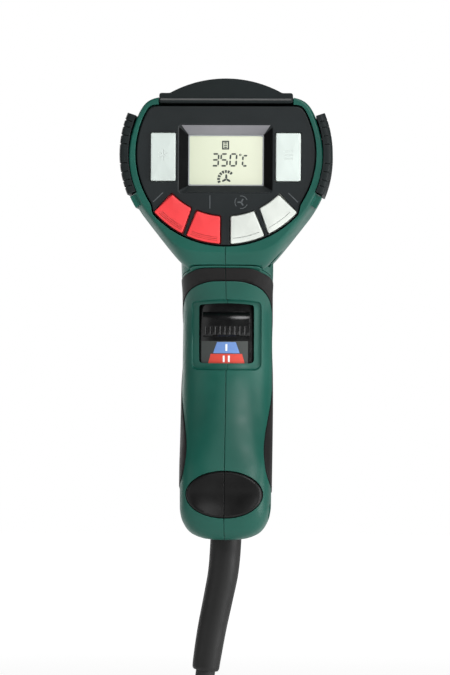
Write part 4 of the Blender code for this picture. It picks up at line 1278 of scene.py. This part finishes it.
def list_marks(side):
    """Three short lines for the stored settings."""
    x, middle = side * BUTTON_MIDDLE[0], BUTTON_MIDDLE[1]
    half, thick = LIST_HALF
    rows = [middle + LIST_PITCH * i for i in (-1, 0, 1)]
    return [bar(x - half, z, x + half, z, thick) for z in rows]


# ---- thumb switch ----

BOW_R = 28.0  # of the slider's face, which curves back towards its sides
BED_DEPTH = 18.9
BED_BACK = 20.3
BED_HALF = 11.6
THUMB_DEPTH = 15.7
THUMB_HALF = 10.1
# The thumb piece's section, as (height, setback).
THUMB_SECTION = (
    (-77.3, 1.6), (-76.9, 0.7), (-76.2, 0.15), (-75.4, 0.0),
    (-70.2, 0.0), (-69.0, 0.15), (-67.8, 0.7), (-66.8, 1.8),
)
NOTCH_PITCH = 2.1
LABEL_THICK = 0.1
# The printed scale: lower and upper height, half widths there, middle, and how proud it lies.
SCALE = (
    ("scale_ground", SCALE_GREY, (-89.6, -79.2), (10.0, 10.0), -0.8, 0.04),
    ("scale_low", BLUE_INK, (-84.4, -79.6), (5.7, 4.0), 0.0, 0.08),
    ("scale_high", RED_INK, (-89.0, -84.7), (7.9, 6.7), 0.0, 0.08),
    ("scale_one", WHITE_INK, (-83.4, -80.5), (0.42, 0.42), 0.0, 0.12),
    ("scale_two_left", WHITE_INK, (-88.2, -85.4), (0.4, 0.4), -1.1, 0.12),
    ("scale_two_right", WHITE_INK, (-88.2, -85.4), (0.4, 0.4), 1.1, 0.12),
)


def bowed(xs, depth, z):
    """A line of points across the slider's bowed face at a height."""
    return [place(x, depth + BOW_R - math.sqrt(BOW_R ** 2 - x * x), z) for x in xs]


def spaced(middle, half, steps):
    """Evenly spaced points from one side of a middle to the other."""
    return [middle - half + 2 * half * i / steps for i in range(steps + 1)]


def build_slider():
    """The switch's slider: its long bed, the ribbed thumb piece, the driver and the scale."""
    bed = []
    xs = spaced(0.0, BED_HALF, 40)
    for z in stations(-98.0, -57.0, 30):
        bed.append(bowed(xs, BED_DEPTH, z) + bowed(xs, BED_BACK, z)[::-1])
    thumb = []
    for z, setback in THUMB_SECTION:
        back = [place(THUMB_HALF, 20.0, z), place(-THUMB_HALF, 20.0, z)]
        thumb.append(bowed(spaced(0.0, THUMB_HALF, 40), THUMB_DEPTH + setback, z) + back)
    slider = join(loft(bed), loft(thumb), box((-1.4, 1.4), (19.6, 28.2), (-78, -74)))
    for i in range(-4, 5):
        x = NOTCH_PITCH * i
        depth = THUMB_DEPTH - 0.35 + BOW_R - math.sqrt(BOW_R ** 2 - x * x)
        slider = cut(slider, rod((x, depth, -79), (x, depth, -72.9), 0.78, 20))
    show(slider, "thumb_slider", SLIDER, "slider", ["switch_slider"], 28)
    for name, ink, heights, halves, middle, proud in SCALE:
        mark = label(heights, halves, middle, BED_DEPTH - proud)
        show(mark, name, ink, "slider", angle=60)


def label(heights, halves, middle, depth):
    """A thin printed patch that lies on the slider's bowed face."""
    rings = []
    for z, half in zip(stations(*heights, 13), stations(*halves, 13)):
        xs = spaced(middle, half, 16)
        rings.append(bowed(xs, depth, z) + bowed(xs, depth + LABEL_THICK, z)[::-1])
    return loft(rings)


# ---- front: guard and outlet ----


# Closed sections as (radius, depth): outside, front edge, then inside.
GUARD_SECTION = [
    (26.0, 150), (28.0, 150), (28.0, 165.4), (30.2, 165.4), (30.7, 165.7), (30.8, 166.4),
    (30.8, 200.0), (30.5, 203.5), (29.6, 208.0), (28.0, 213.5), (26.6, 217.0), (24.8, 219.8),
    (23.4, 220.7), (22.2, 221.0), (20.9, 221.0), (20.4, 220.5), (20.4, 218.6),
    (24.4, 214.4), (26.2, 208.0), (26.6, 203), (26.0, 180),
]
TUBE_SECTION = [
    (23.7, 102), (24.5, 102), (24.5, 188.6), (24.2, 190.6), (17.4, 210.2), (17.0, 211.8),
    (17.0, 251.9), (17.1, 252.5), (17.45, 252.8), (17.6, 253.3), (17.6, 254.3), (17.4, 254.8),
    (17.0, 255.0),
    (16.5, 255.0), (16.2, 254.7), (16.2, 211.9), (16.6, 210.4), (23.4, 190.4), (23.7, 188.4),
]
GUARD_SLOTS = 10
GUARD_LINES = (167.9, 169.3)  # depths of two fine rings cut into the guard


def build_front():
    """The barrel guard and the outlet tube."""
    guard = turned(GUARD_SECTION)
    for i in range(GUARD_SLOTS):
        guard = cut(guard, slot_cutter(360.0 / GUARD_SLOTS * i))
    for depth in GUARD_LINES:
        guard = cut(guard, turned(corners_of((30.45, 33), (depth, depth + 0.6))))
    show(guard, "front_guard", BLACK, "guard", ["barrel_guard"], 28)
    tube = turned(TUBE_SECTION)
    show(tube, "hot_air_tube", OUTLET_STEEL, nodes=["outlet_tube"], angle=28)


def slot_cutter(angle):
    """A slot with rounded ends through the guard, at an angle round the barrel."""
    turn = math.radians(angle)
    outline = even(rounded(corners_of((172, 196), (-1.7, 1.7)), 1.6), 64)
    rings = []
    for reach in (24.0, 34.0):
        ring = []
        for depth, across in outline:
            x = reach * math.cos(turn) - across * math.sin(turn)
            z = reach * math.sin(turn) + across * math.cos(turn)
            ring.append(place(x, depth, z))
        rings.append(ring)
    return loft(rings)


# ---- mains cord, on the route of the CAD model's ----

CORD_D = 8.5
SLEEVE_LINE = [
    (0, -140), (0, -152), (0, -164), (-1.0, -178),
    (-3.2, -190), (-5.8, -203), (-7.9, -216), (-8.5, -221),
]
SLEEVE_RADII = [
    (-221.3, 4.9), (-220.8, 5.5), (-219.6, 5.85), (-190, 6.4), (-166, 6.7), (-157.5, 6.7),
    (-156, 5.6), (-140, 5.6),
]
CORD_ROUTE = [
    (-8.5, CORD_DEPTH, -221.3), (-9.2, 26.0, -228), (-9.9, 26.4, -236), (-10.1, 28.0, -245),
    (-9.9, 31.6, -253.6), (-9.4, 37.6, -261.6), (-8.6, 46.0, -268.8), (-7.7, 56.4, -274.4),
    (-7.0, 68.0, -277.3), (-6.8, 80.0, -278.7),
]
INSIDE_SLEEVE = (-7.9, 26, -216.0)  # the cord's own start, where the sleeve grips it
COIL_CENTRE = (-6.0, 68.0, -346.0)
COIL_MID_R = 50.0
PLUG_TOP = -381.0


def smooth_route(points, per_span):
    """A smooth curve through route points."""
    points = [Vector(p) for p in points]
    ends = [points[0] * 2 - points[1], *points, points[-1] * 2 - points[-2]]
    made = []
    for a, b, c, d in zip(ends, ends[1:], ends[2:], ends[3:]):
        bend = 2 * a - 5 * b + 4 * c - d
        twist = 3 * b - a - 3 * c + d
        for i in range(per_span):
            t = i / per_span
            made.append(0.5 * (2 * b + (c - a) * t + bend * t * t + twist * t ** 3))
    made.append(points[-1])
    return made


def sleeve_piece():
    """The strain relief: a tapered rubber sleeve with a collar inside the handle."""
    path = smooth_route([(x, CORD_DEPTH, z) for x, z in SLEEVE_LINE], 24)
    forward = Vector((0, 1, 0))
    rings = []
    for i, point in enumerate(path):
        along = (path[min(i + 1, len(path) - 1)] - path[max(i - 1, 0)]).normalized()
        side = forward.cross(along).normalized()
        radius = smooth_table(SLEEVE_RADII, point.z)
        around = [side * math.cos(t) + forward * math.sin(t) for t in full_turn(72)]
        rings.append([place(*(point + radius * out)) for out in around])
    return loft(rings)


# The coil's nine turns, as (layer, column): each is next to the one before it.
TURNS = [(1, -1), (1, 0), (0, 0), (0, -1), (-1, -1), (-1, 0), (-1, 1), (0, 1), (1, 1)]
PITCH = 8.8
SHIFT_ANGLE = 175.0  # each turn moves over to the next one within this angle
TAIL_R = 68.0
PER_TURN = 48


def coil_points():
    """From the end of the hanging part, round the coil, and down into the plug."""
    x, depth, z = COIL_CENTRE
    cells = [(COIL_MID_R + PITCH * layer, x + PITCH * column) for layer, column in TURNS]
    last = CORD_ROUTE[-1]
    arrival = (math.hypot(last[1] - depth, last[2] - z), last[0])
    start = math.degrees(math.atan2(last[1] - depth, last[2] - z))
    cells = [arrival, *cells, (TAIL_R, x + PITCH)]
    points = []
    steps = PER_TURN * len(TURNS) + round(PER_TURN * (90 - start) / 360)
    for i in range(1, steps + 1):
        angle = 360.0 * i / PER_TURN
        turn = int(angle // 360.0)
        into = angle - 360.0 * turn
        here = cells[min(turn, len(cells) - 1)]
        following = cells[min(turn + 1, len(cells) - 1)]
        share = min(1.0, into / SHIFT_ANGLE)
        share = share * share * (3 - 2 * share)
        reach = here[0] + (following[0] - here[0]) * share
        across = here[1] + (following[1] - here[1]) * share
        way = math.radians(start + angle)
        points.append(Vector((across, depth + reach * math.sin(way), z + reach * math.cos(way))))
    end = points[-1]
    drop = end.z - (PLUG_TOP - 8.0)
    points += [Vector((end.x, end.y, end.z - drop * i / 6)) for i in range(1, 7)]
    return points


def build_cord():
    line = smooth_route([INSIDE_SLEEVE, *CORD_ROUTE], 3) + coil_points()
    data = bpy.data.curves.new("cord", "CURVE")
    data.dimensions = "3D"
    spline = data.splines.new("POLY")
    spline.points.add(len(line) - 1)
    for made, point in zip(spline.points, line):
        made.co = (*place(*point), 1.0)
    spline.use_smooth = True
    data.bevel_depth = CORD_D / 2 * MM
    data.bevel_resolution = 5
    data.use_fill_caps = True
    cord = link(bpy.data.objects.new("cord", data))
    show(cord, "cord", CORD_SHEATH, nodes=["mains_cord", "cord_coil"])
    sleeve = sleeve_piece()
    sleeve = show(sleeve, "sleeve", SLEEVE_RUBBER, nodes=["cord_sleeve"])
    tie = show(tie_piece(), "tie", RUBBER, nodes=["cord_tie"])
    pieces = [sleeve, tie, *build_plug()]


TIE_ANGLE = 215.0


def tie_piece():
    """A rubber strap round the coil."""
    x, depth, z = COIL_CENTRE
    outside = even(rounded(corners_of(*[(-15.4, 15.4)] * 2), 7.0), 120)
    inside = even(rounded(corners_of(*[(-13.9, 13.9)] * 2), 5.6), 120)
    way = math.radians(TIE_ANGLE)
    out = Vector((0.0, math.cos(way), math.sin(way)))
    along = Vector((0.0, -math.sin(way), math.cos(way)))
    centre = Vector((x, depth, z)) + out * COIL_MID_R
    belly = inset(outside, -0.3)
    levels = (
        (inside, -4.0), (outside, -4.0), (belly, -3.4), (belly, 3.4), (outside, 4.0), (inside, 4.0),
    )
    rings = []
    for outline, offset in levels:
        ring = []
        for across, reach in outline:
            ring.append(place(*(centre + Vector((across, 0, 0)) + out * reach + along * offset)))
        rings.append(ring)
    return loft(rings, looped=True)


# Profiles as (radius, height).
PLUG_PROFILE = (
    (5.0, -381.0), (5.2, -381.4), (5.6, -386), (6.6, -394), (9.0, -399.6), (13.0, -402.8),
    (15.8, -405.4), (17.2, -408.6), (17.8, -412.0), (17.8, -431.4), (17.3, -432.6), (16.2, -433.0),
)
PIN_PROFILE = ((2.4, -433.3), (2.4, -450.2), (2.2, -451.2), (1.6, -451.8), (0.7, -452.0))
PIN_X = 9.5
RIBS_OUTSIDE = 15.0  # only the plug's widest part has finger ribs
RIB_CUT = 0.35


def build_plug():
    """A round moulded plug with finger ribs, and two pins with rounded ends."""
    x = COIL_CENTRE[0] + PITCH + 0.1
    depth = COIL_CENTRE[1] + TAIL_R

    def upright(profile, middle, steps, rib=lambda radius, t: 0.0):
        """A (radius, height) profile turned about an upright axis, with ribs cut in."""
        rings = []
        for radius, z in profile:
            polar = [(radius - rib(radius, t), t) for t in full_turn(steps)]
            level = [(middle + r * math.cos(t), depth + r * math.sin(t)) for r, t in polar]
            rings.append([place(*point, z) for point in level])
        return loft(rings)

    def finger_rib(radius, t):
        ribbed = radius > RIBS_OUTSIDE and abs(math.sin(t)) > 0.55
        return RIB_CUT * max(0.0, math.cos(24 * t)) if ribbed else 0.0

    body = upright(PLUG_PROFILE, x, 144, finger_rib)
    pieces = [show(body, "plug_body", CORD_SHEATH, nodes=["mains_plug"])]
    for name, side in SIDES.items():
        pin = upright(PIN_PROFILE, x + PIN_X * side, 48)
        pieces.append(show(pin, f"pin_{name}", BRASS, nodes=[f"plug_pin_{name}"]))
    return pieces


# ---- inner pieces, which stay as the CAD model has them ----

INNER = {
    "display_module": SILICONE, "key_mat": SILICONE, "control_board": BOARD, "power_board": BOARD,
    "board_screw_left": ZINC, "board_screw_right": ZINC, "clamp_screw_left": ZINC,
    "clamp_screw_right": ZINC, "cable_clamp": BLACK, "switch_guide": BLACK, "power_switch": BLACK,
    "triac_heat_sink": ALUMINIUM, "motor_can": ZINC, "motor_bearing_front": BRASS,
    "motor_bearing_rear": BRASS, "motor_shaft": STEEL, "motor_armature": WIRE, "motor_mount": BLACK,
    "fan_inlet_plate": BLACK, "fan_impeller": BLACK, "mica_sleeve": MICA, "heater_core": CERAMIC,
    "heater_coil": WIRE, "temperature_sensor": STEEL, "tube_support_front": CERAMIC,
    "tube_support_rear": CERAMIC, "intake_filter_left": FILTER, "intake_filter_right": FILTER,
}


def paint_inner():
    for name, paint in INNER.items():
        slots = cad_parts[name].material_slots
        for slot in slots:
            slot.material = paint


# ---- floor and light ----

ROOM_LIGHT = 0.16


def add_world():
    """A white backdrop that itself lights the object only dimly, as a studio's does."""
    world = bpy.data.worlds.new("studio")
    world.use_nodes = True
    tree = world.node_tree
    backdrop = tree.nodes["Background"]
    backdrop.inputs["Color"].default_value = (1.0, 1.0, 1.0, 1.0)
    room = tree.nodes.new("ShaderNodeBackground")
    room.inputs["Strength"].default_value = ROOM_LIGHT
    seen = tree.nodes.new("ShaderNodeLightPath")
    mix = tree.nodes.new("ShaderNodeMixShader")
    tree.links.new(seen.outputs["Is Camera Ray"], mix.inputs["Fac"])
    tree.links.new(room.outputs["Background"], mix.inputs[1])
    tree.links.new(backdrop.outputs["Background"], mix.inputs[2])
    tree.links.new(mix.outputs["Shader"], tree.nodes["World Output"].inputs["Surface"])
    bpy.context.scene.world = world
    bpy.context.scene.view_settings.view_transform = "Standard"


FLOOR_R = 4.0
FLOOR_BELOW = 0.03
# Each light's place in metres, size and power in watts.
LIGHTS = (
    ("key", (0.5, -1.05, 0.7), 0.7, 12.2),
    ("fill", (-0.95, -0.7, 0.25), 0.9, 2.2),
    ("top", (0.0, 0.1, 1.2), 0.8, 4.0),
    ("right", (1.15, -0.45, 0.0), 0.8, 10.0),
    ("back", (-0.75, 1.15, 0.35), 0.9, 6.0),
)
LIGHTS_AIM = (0, 0.02, 0.05)


def build_stage():
    """A pale floor under the hanging coil, and soft light from all round and above."""
    shape = bmesh.new()
    bmesh.ops.create_circle(shape, cap_ends=True, segments=128, radius=FLOOR_R)
    floor = finish_mesh(shape, "floor")
    floor.location = (0, 0, CAD_BOX[0][2] - FLOOR_BELOW)
    pale = Nodes("pale_floor")
    slow = pale.spread(pale.noise(3.0, 3.0), 0.0, 1.0)
    pale.feed("Base Color", pale.between(slow, (0.86, 0.86, 0.86), (0.9, 0.9, 0.9)))
    pale.give("Roughness", 0.9)
    pale.give("Emission Color", (1.0, 1.0, 1.0, 1.0))
    reach = pale.add("ShaderNodeVectorMath", operation="LENGTH")
    pale.link(pale.space, reach.inputs[0])
    pale.feed("Emission Strength", pale.spread(reach.outputs["Value"], 0.35, 0.95, 0.5, 2.6))
    floor.data.materials.append(pale.material)
    add_world()
    for name, where, size, power in LIGHTS:
        data = bpy.data.lights.new(name, "AREA")
        data.shape = "DISK"
        data.size = size
        data.energy = power
        lamp = link(bpy.data.objects.new(name, data))
        lamp.location = where
        aim = Vector(LIGHTS_AIM) - Vector(where)
        lamp.rotation_euler = aim.to_track_quat("-Z", "Y").to_euler()


build_cord()
build_housing()
build_grips()
build_hood()
build_covers()
build_panel()
panel_marks()
build_display()
build_keys()
build_slider()
build_front()
paint_inner()
build_stage()
